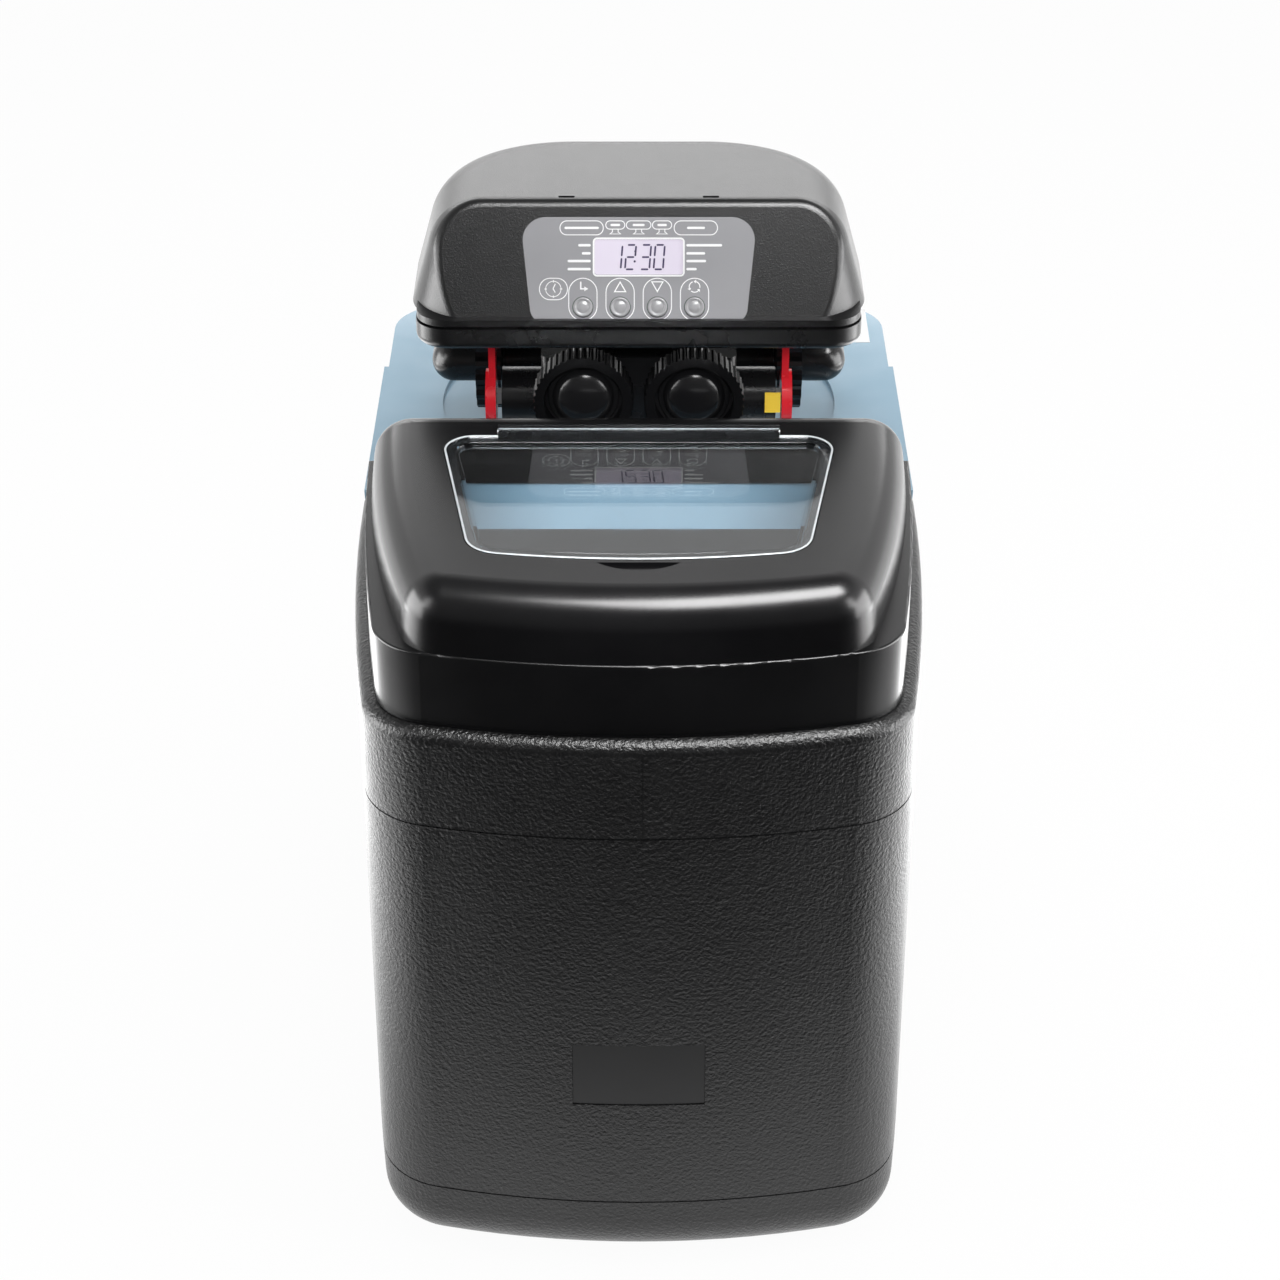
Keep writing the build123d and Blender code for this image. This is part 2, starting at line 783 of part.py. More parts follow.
# Salt grid on its legs
grid_rear_depth = shroud_front_depth - slide_gap
grid_length = grid_rear_depth - grid_front_depth
grid_bottom = floor_thickness + grid_height
leg_x = grid_half - grid_leg_radius * 2
leg_step = grid_length - grid_leg_radius * 4
with BuildPart() as salt_grid:
    with BuildSketch(level(grid_bottom)):
        with Locations((0, at_depth(grid_front_depth + grid_length / 2))):
            RectangleRounded(grid_half * 2, grid_length, grid_leg_radius * 2)
            with GridLocations(grid_pitch, grid_pitch, grid_columns, grid_rows):
                Rectangle(grid_hole, grid_hole, mode=Mode.SUBTRACT)
        with Locations((brine_well_x, at_depth(brine_well_depth))):
            Circle(brine_well_radius + slide_gap * 2, mode=Mode.SUBTRACT)
    extrude(amount=grid_thickness)
    with BuildSketch(level(floor_thickness + seat_gap)):
        with Locations((leg_x, at_depth(grid_front_depth + grid_leg_radius * 2))):
            Circle(grid_leg_radius)
        with Locations((-leg_x, at_depth(grid_front_depth + grid_leg_radius * 2))):
            Circle(grid_leg_radius)
        with Locations((leg_x, at_depth(grid_front_depth + grid_leg_radius * 2 + leg_step))):
            Circle(grid_leg_radius)
    extrude(amount=grid_height)
salt_grid.part.label = "salt_grid"
export_step(salt_grid.part, "parts/salt_grid.step")

# Brine well and its cap
well_y = at_depth(brine_well_depth)
well_centre = (brine_well_x, well_y)
with BuildPart() as brine_well:
    with BuildSketch(level(floor_thickness + seat_gap)):
        with Locations(well_centre):
            Circle(brine_well_radius)
            Circle(brine_well_radius - brine_well_wall, mode=Mode.SUBTRACT)
    extrude(amount=brine_well_top - floor_thickness - seat_gap)
    with BuildSketch(level(floor_thickness + seat_gap * 2)):
        with Locations(well_centre):
            with PolarLocations(brine_well_radius, brine_slot_count):
                Rectangle(brine_well_wall * 4, brine_slot_width)
    extrude(amount=brine_slot_height, mode=Mode.SUBTRACT)
    # Slot for the brine line, which bends down inside the well
    with BuildSketch(facing(brine_well_depth)):
        with Locations((line_well_x, line_run_height)):
            SlotOverall(brine_line_radius * 6, (brine_line_radius + slide_gap) * 2, rotation=90)
    extrude(amount=-(brine_well_radius + overrun), mode=Mode.SUBTRACT)
brine_well.part.label = "brine_well"
export_step(brine_well.part, "parts/brine_well.step")

with BuildPart() as brine_well_cap:
    with BuildSketch(level(brine_well_top + seat_gap)):
        with Locations(well_centre):
            Circle(brine_well_radius + brine_well_wall)
    extrude(amount=well_cap_thickness)
    fillet(faces().sort_by(Axis.Z)[-1].edges(), well_cap_thickness / 2)
    with BuildSketch(level(brine_well_top + seat_gap - well_cap_lip)):
        with Locations(well_centre):
            Circle(brine_well_radius - brine_well_wall - seat_gap)
            Circle(brine_well_radius - brine_well_wall * 2, mode=Mode.SUBTRACT)
    extrude(amount=well_cap_lip)
brine_well_cap.part.label = "brine_well_cap"
export_step(brine_well_cap.part, "parts/brine_well_cap.step")

# Air check, float rod and float
air_check_bottom = floor_thickness + seat_gap
air_check_top = air_check_bottom + air_check_foot + air_check_height
rod_top = brine_well_top - well_cap_lip
line_foot = air_check_top - line_socket_depth
with BuildPart() as air_check:
    with BuildSketch(level(air_check_bottom)):
        with Locations(well_centre):
            Circle(air_check_foot_radius)
    extrude(amount=air_check_foot)
    with BuildSketch(level(air_check_bottom + air_check_foot)):
        with Locations(well_centre):
            Circle(air_check_radius)
    extrude(amount=air_check_height)
    fillet(faces().sort_by(Axis.Z)[-1].edges(), air_check_foot / 2)
    # Side port that the brine line is pushed into
    with BuildSketch(sideways(line_well_x)):
        with Locations((well_y, line_foot - line_socket_depth)):
            Circle(line_socket_radius)
    extrude(amount=line_well_offset)
    with BuildSketch(level(line_foot - line_socket_depth - line_socket_radius)):
        with Locations((line_well_x, well_y)):
            Circle(line_socket_radius)
    extrude(amount=line_socket_radius + line_socket_depth * 2)
    with BuildSketch(level(line_foot)):
        with Locations((line_well_x, well_y)):
            Circle(brine_line_radius + running_gap)
    extrude(amount=line_socket_depth, mode=Mode.SUBTRACT)
air_check.part.label = "air_check"
export_step(air_check.part, "parts/air_check.step")

with BuildPart() as float_rod:
    with BuildSketch(level(air_check_top)):
        with Locations(well_centre):
            Circle(float_rod_radius)
    extrude(amount=rod_top - air_check_top)
    lower_stop = float_rest - slide_gap - float_stop
    upper_stop = float_rest + float_height + float_travel + slide_gap
    for stop_height in (lower_stop, upper_stop):
        with BuildSketch(level(stop_height)):
            with Locations(well_centre):
                Circle(float_stop_radius)
        extrude(amount=float_stop)
float_rod.part.label = "float_rod"
export_step(float_rod.part, "parts/float_rod.step")

with BuildPart() as float_body:
    with BuildSketch(level(float_rest)):
        with Locations(well_centre):
            Circle(float_radius)
    extrude(amount=float_height)
    fillet(edges(), float_edge_radius)
    with BuildSketch(level(float_rest)):
        with Locations(well_centre):
            Circle(float_rod_radius + running_gap * 2)
    extrude(amount=float_height, mode=Mode.SUBTRACT)
float_body.part.label = "float"
export_step(float_body.part, "parts/float.step")

# Overflow elbow through the rear wall
elbow_y = rear_y + overflow_reach - overflow_radius
with BuildPart() as overflow_elbow:
    with BuildSketch(facing(body_depth - body_wall - overflow_tail)):
        with Locations((overflow_x, overflow_height)):
            Circle(overflow_radius)
    extrude(amount=-(body_wall + overflow_tail + overflow_reach - overflow_radius))
    with BuildSketch(facing(body_depth + seat_gap)):
        with Locations((overflow_x, overflow_height)):
            Circle(overflow_flange_radius)
    extrude(amount=-overflow_flange)
    with Locations((overflow_x, elbow_y, overflow_height)):
        Sphere(overflow_radius)
    with BuildSketch(level(overflow_height - overflow_radius - overflow_drop)):
        with Locations((overflow_x, elbow_y)):
            Circle(overflow_radius)
    extrude(amount=overflow_radius + overflow_drop)
    with BuildSketch(level(overflow_height - overflow_radius - overflow_drop)):
        with Locations((overflow_x, elbow_y)):
            Circle(overflow_bore)
    extrude(amount=overflow_radius + overflow_drop, mode=Mode.SUBTRACT)
    with BuildSketch(facing(body_depth - body_wall - overflow_tail)):
        with Locations((overflow_x, overflow_height)):
            Circle(overflow_bore)
    extrude(amount=-(body_wall + overflow_tail + overflow_reach - overflow_radius), mode=Mode.SUBTRACT)
overflow_elbow.part.label = "overflow_elbow"
export_step(overflow_elbow.part, "parts/overflow_elbow.step")

with BuildPart() as overflow_nut:
    with BuildSketch(facing(body_depth - body_wall - seat_gap)):
        with Locations((overflow_x, overflow_height)):
            RegularPolygon(overflow_nut_radius, 6)
            Circle(overflow_radius + running_gap, mode=Mode.SUBTRACT)
    extrude(amount=overflow_nut_width)
overflow_nut.part.label = "overflow_nut"
export_step(overflow_nut.part, "parts/overflow_nut.step")

# Resin tank, boot, riser and baskets
axis_y = at_depth(resin_depth)
tank_plane = Plane(origin=(0, axis_y, 0), x_dir=(1, 0, 0), z_dir=(0, -1, 0))
boot_bottom = floor_thickness + seat_gap
tank_bottom = boot_bottom + tank_lift


def tank_profile(inset, neck, top):
    """Half section of the tank's outside or inside, drawn right of its axis."""
    radius = resin_radius - inset
    bottom = tank_bottom + inset
    with BuildSketch() as profile:
        with BuildLine():
            foot = (0, bottom)
            low_middle = (radius * sin(pi / 4), bottom + tank_bottom_rise * (1 - cos(pi / 4)))
            low_side = (radius, bottom + tank_bottom_rise)
            high_side = (radius, tank_shoulder)
            neck_foot = (neck, tank_dome_top - inset)
            Line((0, top), foot)
            ThreePointArc(foot, low_middle, low_side)
            Line(low_side, high_side)
            RadiusArc(high_side, neck_foot, -resin_radius)
            Line(neck_foot, (neck, top))
            Line((neck, top), (0, top))
        make_face()
    return profile.sketch


tank_outside = tank_profile(0, tank_neck_radius, tank_neck_top)
tank_inside = tank_profile(resin_wall, tank_neck_bore, tank_neck_top + overrun)
with BuildPart() as resin_tank:
    with BuildSketch(tank_plane):
        add(tank_outside)
    revolve(axis=Axis((0, axis_y, 0), (0, 0, 1)))
    with BuildSketch(tank_plane):
        add(tank_inside)
    revolve(axis=Axis((0, axis_y, 0), (0, 0, 1)), mode=Mode.SUBTRACT)
resin_tank.part.label = "resin_tank"
export_step(resin_tank.part, "parts/resin_tank.step")

with BuildPart() as tank_gauge:
    with BuildSketch(tank_plane):
        add(tank_profile(-seat_gap, tank_neck_radius + seat_gap, tank_neck_top))
    revolve(axis=Axis((0, axis_y, 0), (0, 0, 1)))

with BuildPart() as tank_boot:
    with BuildSketch(level(boot_bottom)):
        with Locations((0, axis_y)):
            Circle(boot_radius)
            Circle(boot_radius - boot_wall * 4, mode=Mode.SUBTRACT)
    extrude(amount=boot_height)
    fillet(faces().sort_by(Axis.Z)[0].edges().sort_by(SortBy.LENGTH)[-1], boot_wall / 2)
    add(tank_gauge.part, mode=Mode.SUBTRACT)
tank_boot.part.label = "tank_boot"
export_step(tank_boot.part, "parts/tank_boot.step")

riser_bottom = tank_bottom + resin_wall + basket_height
riser_top = tank_neck_top + valve_flange
with BuildPart() as distributor_tube:
    with BuildSketch(level(riser_bottom)):
        with Locations((0, axis_y)):
            Circle(riser_radius)
            Circle(riser_radius - riser_wall, mode=Mode.SUBTRACT)
    extrude(amount=riser_top - riser_bottom)
distributor_tube.part.label = "distributor_tube"
export_step(distributor_tube.part, "parts/distributor_tube.step")


def basket(bottom, radius, height, bore):
    """Slotted strainer basket about the riser."""
    with BuildPart() as strainer:
        with BuildSketch(level(bottom)):
            with Locations((0, axis_y)):
                Circle(radius)
        extrude(amount=height)
        fillet(faces().sort_by(Axis.Z)[0].edges(), radius / 4)
        with BuildSketch(level(bottom + radius / 2)):
            with Locations((0, axis_y)):
                with PolarLocations(radius, basket_slot_count):
                    Rectangle(radius / 2, basket_slot)
        extrude(amount=height - radius, mode=Mode.SUBTRACT)
        if bore > 0:
            with BuildSketch(level(bottom)):
                with Locations((0, axis_y)):
                    Circle(bore)
            extrude(amount=height, mode=Mode.SUBTRACT)
    return strainer.part


lower_basket = basket(tank_bottom + resin_wall + seat_gap, basket_radius, basket_height - seat_gap * 2, 0)
lower_basket.label = "lower_basket"
export_step(lower_basket, "parts/lower_basket.step")

upper_bottom = tank_neck_top - upper_basket_height - collar_length - seat_gap
upper_basket = basket(upper_bottom, upper_basket_radius, upper_basket_height, riser_radius + seat_gap)
upper_basket.label = "upper_basket"
export_step(upper_basket, "parts/upper_basket.step")

with BuildPart() as resin_bed:
    with BuildSketch(tank_plane):
        add(tank_profile(resin_wall + seat_gap, tank_neck_bore, tank_neck_top))
        with Locations((0, resin_top + body_height / 2)):
            Rectangle(body_width, body_height, mode=Mode.SUBTRACT)
    revolve(axis=Axis((0, axis_y, 0), (0, 0, 1)))
    with BuildSketch(level(0)):
        with Locations((0, axis_y)):
            Circle(riser_radius + seat_gap)
    extrude(amount=resin_top, mode=Mode.SUBTRACT)
    with BuildSketch(level(0)):
        with Locations((0, axis_y)):
            Circle(basket_radius + seat_gap)
    extrude(amount=riser_bottom + seat_gap, mode=Mode.SUBTRACT)
resin_bed.part.label = "resin_bed"
export_step(resin_bed.part, "parts/resin_bed.step")

# Valve body
flange_bottom = tank_neck_top + seat_gap
flange_top = flange_bottom + valve_flange
with BuildPart() as valve_body:
    with BuildSketch(level(flange_bottom - collar_length)):
        with Locations((0, axis_y)):
            Circle(collar_radius)
    extrude(amount=collar_length)
    with BuildSketch(level(flange_bottom)):
        with Locations((0, axis_y)):
            add(ribbed_ring(valve_flange_radius, riser_wall, valve_lug_count, riser_radius))
    extrude(amount=valve_flange)
    with BuildSketch(level(flange_bottom)):
        with Locations((0, axis_y)):
            RectangleRounded(tower_half_x * 2, tower_half_y * 2, tower_half_y / 3)
    extrude(amount=barrel_height - flange_bottom)
    with BuildSketch(facing(barrel_front_depth)):
        with Locations((0, barrel_height)):
            Circle(barrel_radius)
    extrude(amount=-(barrel_rear_depth - barrel_front_depth))
    # Piston bore, open at the front
    with BuildSketch(facing(barrel_front_depth)):
        with Locations((0, barrel_height)):
            Circle(barrel_bore)
    extrude(amount=-(barrel_rear_depth - barrel_end_wall - barrel_front_depth), mode=Mode.SUBTRACT)
    # Screw holes in the barrel's end
    with BuildSketch(facing(barrel_front_depth)):
        with Locations((0, barrel_height - bracket_screw_offset), (0, barrel_height + bracket_screw_offset)):
            Circle(screw_radius + running_gap)
    extrude(amount=-screw_length, mode=Mode.SUBTRACT)
    # Riser socket and passage up to the bore
    with BuildSketch(level(flange_bottom - collar_length)):
        with Locations((0, axis_y)):
            Circle(riser_radius + seat_gap)
    extrude(amount=collar_length + valve_flange + seat_gap, mode=Mode.SUBTRACT)
    with BuildSketch(level(flange_top)):
        with Locations((0, axis_y)):
            Circle(riser_radius - riser_wall)
    extrude(amount=barrel_height - flange_top, mode=Mode.SUBTRACT)
valve_body.part.label = "valve_body"
export_step(valve_body.part, "parts/valve_body.step")

# Piston, rod and seal stack in the bore
stack_length = barrel_rear_depth - barrel_end_wall - barrel_front_depth - seat_gap
with BuildPart() as spacer_stack:
    with BuildSketch(facing(barrel_front_depth)):
        with Locations((0, barrel_height)):
            Circle(barrel_bore - running_gap)
            Circle(barrel_bore - stack_wall, mode=Mode.SUBTRACT)
    extrude(amount=-stack_length)
    ring_pitch = stack_length / stack_ring_count
    for ring in range(stack_ring_count):
        with BuildSketch(facing(barrel_front_depth + ring_pitch * (ring + 0.5) - stack_ring_gap / 2)):
            with Locations((0, barrel_height)):
                Circle(barrel_bore)
                Circle(barrel_bore - stack_wall / 2, mode=Mode.SUBTRACT)
        extrude(amount=-stack_ring_gap, mode=Mode.SUBTRACT)
spacer_stack.part.label = "spacer_stack"
export_step(spacer_stack.part, "parts/spacer_stack.step")

piston_start = barrel_front_depth + piston_start_gap
with BuildPart() as piston:
    with BuildSketch(facing(piston_start)):
        with Locations((0, barrel_height)):
            Circle(piston_radius)
    extrude(amount=-piston_length)
    with BuildSketch(facing(piston_start + piston_length / 3)):
        with Locations((0, barrel_height)):
            Circle(piston_radius)
            Circle(piston_radius - stack_wall, mode=Mode.SUBTRACT)
    extrude(amount=-piston_length / 3, mode=Mode.SUBTRACT)
    with BuildSketch(facing(piston_start)):
        with Locations((0, barrel_height)):
            Circle(rod_radius + seat_gap)
    extrude(amount=-piston_length / 4, mode=Mode.SUBTRACT)
piston.part.label = "piston"
export_step(piston.part, "parts/piston.step")

with BuildPart() as piston_rod:
    with BuildSketch(facing(rod_front_depth)):
        with Locations((0, barrel_height)):
            Circle(rod_radius)
    extrude(amount=-(piston_start + piston_length / 4 - seat_gap - rod_front_depth))
piston_rod.part.label = "piston_rod"
export_step(piston_rod.part, "parts/piston_rod.step")

# Bypass manifold with two front ports and two side outlets
outlet_start = tower_half_x + stack_wall
manifold_rear = resin_depth - tower_half_y - seat_gap
with BuildPart() as bypass_body:
    with BuildSketch(level(manifold_bottom)):
        with Locations((0, at_depth((manifold_front_depth + manifold_rear) / 2))):
            Rectangle(manifold_half_x * 2, manifold_rear - manifold_front_depth)
    extrude(amount=manifold_top - manifold_bottom)
    fillet(edges().filter_by(Axis.Z), manifold_edge)
    for side in (-1, 1):
        with BuildSketch(facing(port_front_depth)):
            with Locations((side * port_x, port_height)):
                Circle(port_radius)
        extrude(amount=-(manifold_front_depth - port_front_depth + overrun))
        with BuildSketch(sideways(side * manifold_half_x / 2)):
            with Locations((at_depth(rotor_depth), rotor_height)):
                Circle(rotor_barrel_radius)
        extrude(amount=side * (rotor_barrel_end - manifold_half_x / 2))
        with BuildSketch(sideways(side * outlet_start)):
            with Locations((at_depth(outlet_depth), outlet_height)):
                Circle(outlet_radius)
        extrude(amount=side * (outlet_flange_x - outlet_start))
    for side in (-1, 1):
        with BuildSketch(facing(port_front_depth)):
            with Locations((side * port_x, port_height)):
                Circle(port_radius - stack_wall)
        extrude(amount=-port_radius, mode=Mode.SUBTRACT)
        with BuildSketch(sideways(side * rotor_barrel_end)):
            with Locations((at_depth(rotor_depth), rotor_height)):
                Circle(rotor_radius + running_gap)
        extrude(amount=-side * rotor_length, mode=Mode.SUBTRACT)
        with BuildSketch(sideways(side * outlet_flange_x)):
            with Locations((at_depth(outlet_depth), outlet_height)):
                Circle(outlet_bore)
        extrude(amount=-side * (outlet_flange_x - outlet_start - stack_wall), mode=Mode.SUBTRACT)
bypass_body.part.label = "bypass_body"
export_step(bypass_body.part, "parts/bypass_body.step")

# Knurled ring nuts and domed caps on the front ports
nut_front = port_front_depth - port_nut_width + port_cap_flange
with BuildPart() as port_nuts:
    for side in (-1, 1):
        with BuildSketch(facing(nut_front)):
            with Locations((side * port_x, port_height)):
                nut_bore = port_radius + running_gap
                add(ribbed_ring(port_nut_radius, port_nut_rib_depth, port_nut_ribs, nut_bore))
        extrude(amount=-port_nut_width)
port_nuts.part.label = "port_nuts"
export_step(port_nuts.part, "parts/port_nuts.step")

for side, name in ((-1, "left_port_cap"), (1, "right_port_cap")):
    with BuildPart() as port_cap:
        with BuildSketch(facing(port_front_depth - seat_gap)):
            with Locations((side * port_x, port_height)):
                Circle(port_cap_radius)
        extrude(amount=port_cap_flange + port_cap_dome)
        dome_start = facing(port_front_depth - seat_gap - port_cap_flange)
        with BuildSketch(dome_start):
            with Locations((side * port_x, port_height)):
                Circle(port_cap_radius + overrun)
                Circle(port_cap_dome_radius, mode=Mode.SUBTRACT)
        extrude(amount=port_cap_dome + overrun, mode=Mode.SUBTRACT)
        fillet(faces().sort_by(Axis.Y)[0].edges(), port_cap_dome - seat_gap)
    port_cap.part.label = name
    export_step(port_cap.part, "parts/" + name + ".step")

# Bypass rotors and their lever handles
rotor_y = at_depth(rotor_depth)
for side, word in ((-1, "left"), (1, "right")):
    with BuildPart() as rotor:
        with BuildSketch(sideways(side * (rotor_barrel_end - rotor_length + seat_gap))):
            with Locations((rotor_y, rotor_height)):
                Circle(rotor_radius)
        extrude(amount=side * (rotor_length - seat_gap))
        with BuildSketch(sideways(side * rotor_barrel_end)):
            with Locations((rotor_y, rotor_height)):
                Rectangle(stem_radius * 1.4, stem_radius * 1.4)
        extrude(amount=side * (handle_x - rotor_barrel_end + handle_thickness))
        with BuildSketch(level(rotor_height - rotor_radius)):
            with Locations((side * (rotor_barrel_end - rotor_length / 2), rotor_y)):
                Circle(rotor_bore)
        extrude(amount=rotor_radius * 2, mode=Mode.SUBTRACT)
    rotor.part.label = word + "_rotor"
    export_step(rotor.part, "parts/" + word + "_rotor.step")

    with BuildPart() as handle:
        with BuildSketch(sideways(side * handle_x)):
            with Locations((rotor_y, rotor_height)):
                Circle(handle_hub_radius)
        extrude(amount=side * handle_thickness)
        with BuildSketch(sideways(side * handle_x)):
            with Locations((rotor_y, rotor_height + handle_lever_length / 2)):
                SlotOverall(handle_lever_length + handle_lever_width, handle_lever_width, rotation=90)
        extrude(amount=side * handle_lever_thickness)
        with BuildSketch(sideways(side * handle_x)):
            with Locations((rotor_y, rotor_height)):
                Rectangle(stem_radius * 1.4 + running_gap * 2, stem_radius * 1.4 + running_gap * 2)
        extrude(amount=side * handle_thickness, mode=Mode.SUBTRACT)
    handle.part.label = word + "_handle"
    export_step(handle.part, "parts/" + word + "_handle.step")

# Union nuts and outlet elbows
with BuildPart() as union_nuts:
    for side in (-1, 1):
        with BuildSketch(sideways(side * union_nut_start)):
            with Locations((at_depth(outlet_depth), outlet_height)):
                add(ribbed_ring(union_nut_radius, riser_wall, union_nut_ribs, outlet_radius + seat_gap))
        extrude(amount=side * union_nut_width)
union_nuts.part.label = "union_nuts"
export_step(union_nuts.part, "parts/union_nuts.step")

outlet_y = at_depth(outlet_depth)
for side, word in ((-1, "left"), (1, "right")):
    with BuildPart() as elbow:
        with BuildSketch(sideways(side * (outlet_flange_x + seat_gap))):
            with Locations((outlet_y, outlet_height)):
                Circle(outlet_radius)
        extrude(amount=side * (elbow_centre_x - outlet_flange_x - seat_gap))
        with Locations((side * elbow_centre_x, outlet_y, outlet_height)):
            Sphere(outlet_radius)
        with BuildSketch(facing(outlet_depth)):
            with Locations((side * elbow_centre_x, outlet_height)):
                Circle(outlet_radius)
        extrude(amount=-elbow_tail)
        with BuildSketch(facing(outlet_depth + elbow_tail - elbow_thread_length)):
            with Locations((side * elbow_centre_x, outlet_height)):
                Circle(elbow_thread_radius)
        extrude(amount=-elbow_thread_length)
        with BuildSketch(sideways(side * (outlet_flange_x + seat_gap))):
            with Locations((outlet_y, outlet_height)):
                Circle(outlet_bore)
        extrude(amount=side * (elbow_centre_x - outlet_flange_x - seat_gap), mode=Mode.SUBTRACT)
        with Locations((side * elbow_centre_x, outlet_y, outlet_height)):
            Sphere(outlet_bore, mode=Mode.SUBTRACT)
        with BuildSketch(facing(outlet_depth)):
            with Locations((side * elbow_centre_x, outlet_height)):
                Circle(outlet_bore)
        extrude(amount=-elbow_tail, mode=Mode.SUBTRACT)
    elbow.part.label = word + "_elbow"
    export_step(elbow.part, "parts/" + word + "_elbow.step")

# Meter turbine in the right-hand outlet
turbine_x = outlet_flange_x - turbine_length * 1.5
with BuildPart() as meter_turbine:
    with BuildSketch(sideways(turbine_x)):
        with Locations((outlet_y, outlet_height)):
            Circle(turbine_hub)
            with PolarLocations(turbine_radius / 2, turbine_blades):
                Rectangle(turbine_radius, turbine_hub / 2)
            Circle(turbine_pin_radius + running_gap, mode=Mode.SUBTRACT)
    extrude(amount=turbine_length)
meter_turbine.part.label = "meter_turbine"
export_step(meter_turbine.part, "parts/meter_turbine.step")

spider_gap = seat_gap * 2
spider_reach = sqrt(outlet_bore**2 - (turbine_hub / 2) ** 2) - running_gap
with BuildPart() as turbine_spider:
    with BuildSketch(sideways(turbine_x - spider_gap - turbine_hub)):
        with Locations((outlet_y, outlet_height)):
            Rectangle(spider_reach * 2, turbine_hub)
            Rectangle(turbine_hub, spider_reach * 2)
            Circle(turbine_hub)
    extrude(amount=turbine_hub)
    with BuildSketch(sideways(turbine_x - spider_gap)):
        with Locations((outlet_y, outlet_height)):
            Circle(turbine_pin_radius)
    extrude(amount=turbine_length + spider_gap * 2)
turbine_spider.part.label = "turbine_spider"
export_step(turbine_spider.part, "parts/turbine_spider.step")

# Drain and brine fittings
fitting_start = resin_depth + tower_half_y + seat_gap
for x, name in ((fitting_x, "drain_elbow"), (-fitting_x, "brine_elbow")):
    with BuildPart() as fitting:
        with BuildSketch(facing(fitting_start)):
            with Locations((x, fitting_height)):
                RegularPolygon(fitting_nut_radius, 6)
        extrude(amount=-fitting_length / 2)
        with BuildSketch(facing(fitting_start)):
            with Locations((x, fitting_height)):
                Circle(fitting_radius)
        extrude(amount=-fitting_length)
        elbow_at = at_depth(fitting_start + fitting_length)
        with Locations((x, elbow_at, fitting_height)):
            Sphere(fitting_radius)
        with BuildSketch(level(fitting_height - fitting_radius - fitting_tail)):
            with Locations((x, elbow_at)):
                Circle(fitting_radius - seat_gap * 4)
        extrude(amount=fitting_radius + fitting_tail)
        with BuildSketch(level(fitting_height - fitting_radius - fitting_tail)):
            with Locations((x, elbow_at)):
                Circle(fitting_bore + running_gap)
        extrude(amount=fitting_radius + fitting_tail, mode=Mode.SUBTRACT)
        with BuildSketch(facing(fitting_start)):
            with Locations((x, fitting_height)):
                Circle(fitting_bore)
        extrude(amount=-fitting_length, mode=Mode.SUBTRACT)
    fitting.part.label = name
    export_step(fitting.part, "parts/" + name + ".step")


def tray_plan(inset):
    """Plan of the tray under the cover."""
    with BuildSketch() as plan:
        with Locations((0, at_depth((tray_front_depth + tray_rear_depth) / 2))):
            Rectangle(tray_half_x * 2, tray_rear_depth - tray_front_depth)
        fillet(vertices().group_by(Axis.Y)[0], tray_front_radius)
        fillet(vertices().group_by(Axis.Y)[-1], tray_rear_radius)
        if inset != 0:
            offset(amount=-inset, mode=Mode.REPLACE)
    return plan.sketch


# Tray under the cover
tray_top = tray_bottom + tray_height
power_inlet_x = -(tray_half_x - tray_rear_radius) * power_inlet_share
with BuildPart() as valve_tray:
    with BuildSketch(level(tray_bottom)):
        add(tray_plan(0))
    extrude(amount=tray_height)
    fillet(faces().sort_by(Axis.Z)[0].edges(), tray_edge_radius)
    with BuildSketch(level(tray_bottom + tray_wall)):
        add(tray_plan(tray_edge_radius))
    extrude(amount=tray_height, mode=Mode.SUBTRACT)
    with BuildSketch(level(tray_bottom)):
        with Locations((0, axis_y)):
            Rectangle((tower_half_x + seat_gap) * 2, (tower_half_y + seat_gap) * 2)
    extrude(amount=tray_height, mode=Mode.SUBTRACT)
    with BuildSketch(facing(tray_rear_depth)):
        with Locations((power_inlet_x, (tray_bottom + tray_top) / 2)):
            Rectangle(tray_edge_radius, tray_edge_radius)
    extrude(amount=tray_edge_radius * 2, both=True, mode=Mode.SUBTRACT)
valve_tray.part.label = "valve_tray"
export_step(valve_tray.part, "parts/valve_tray.step")

# Valve cover
cover_bottom = tray_top + cover_seam


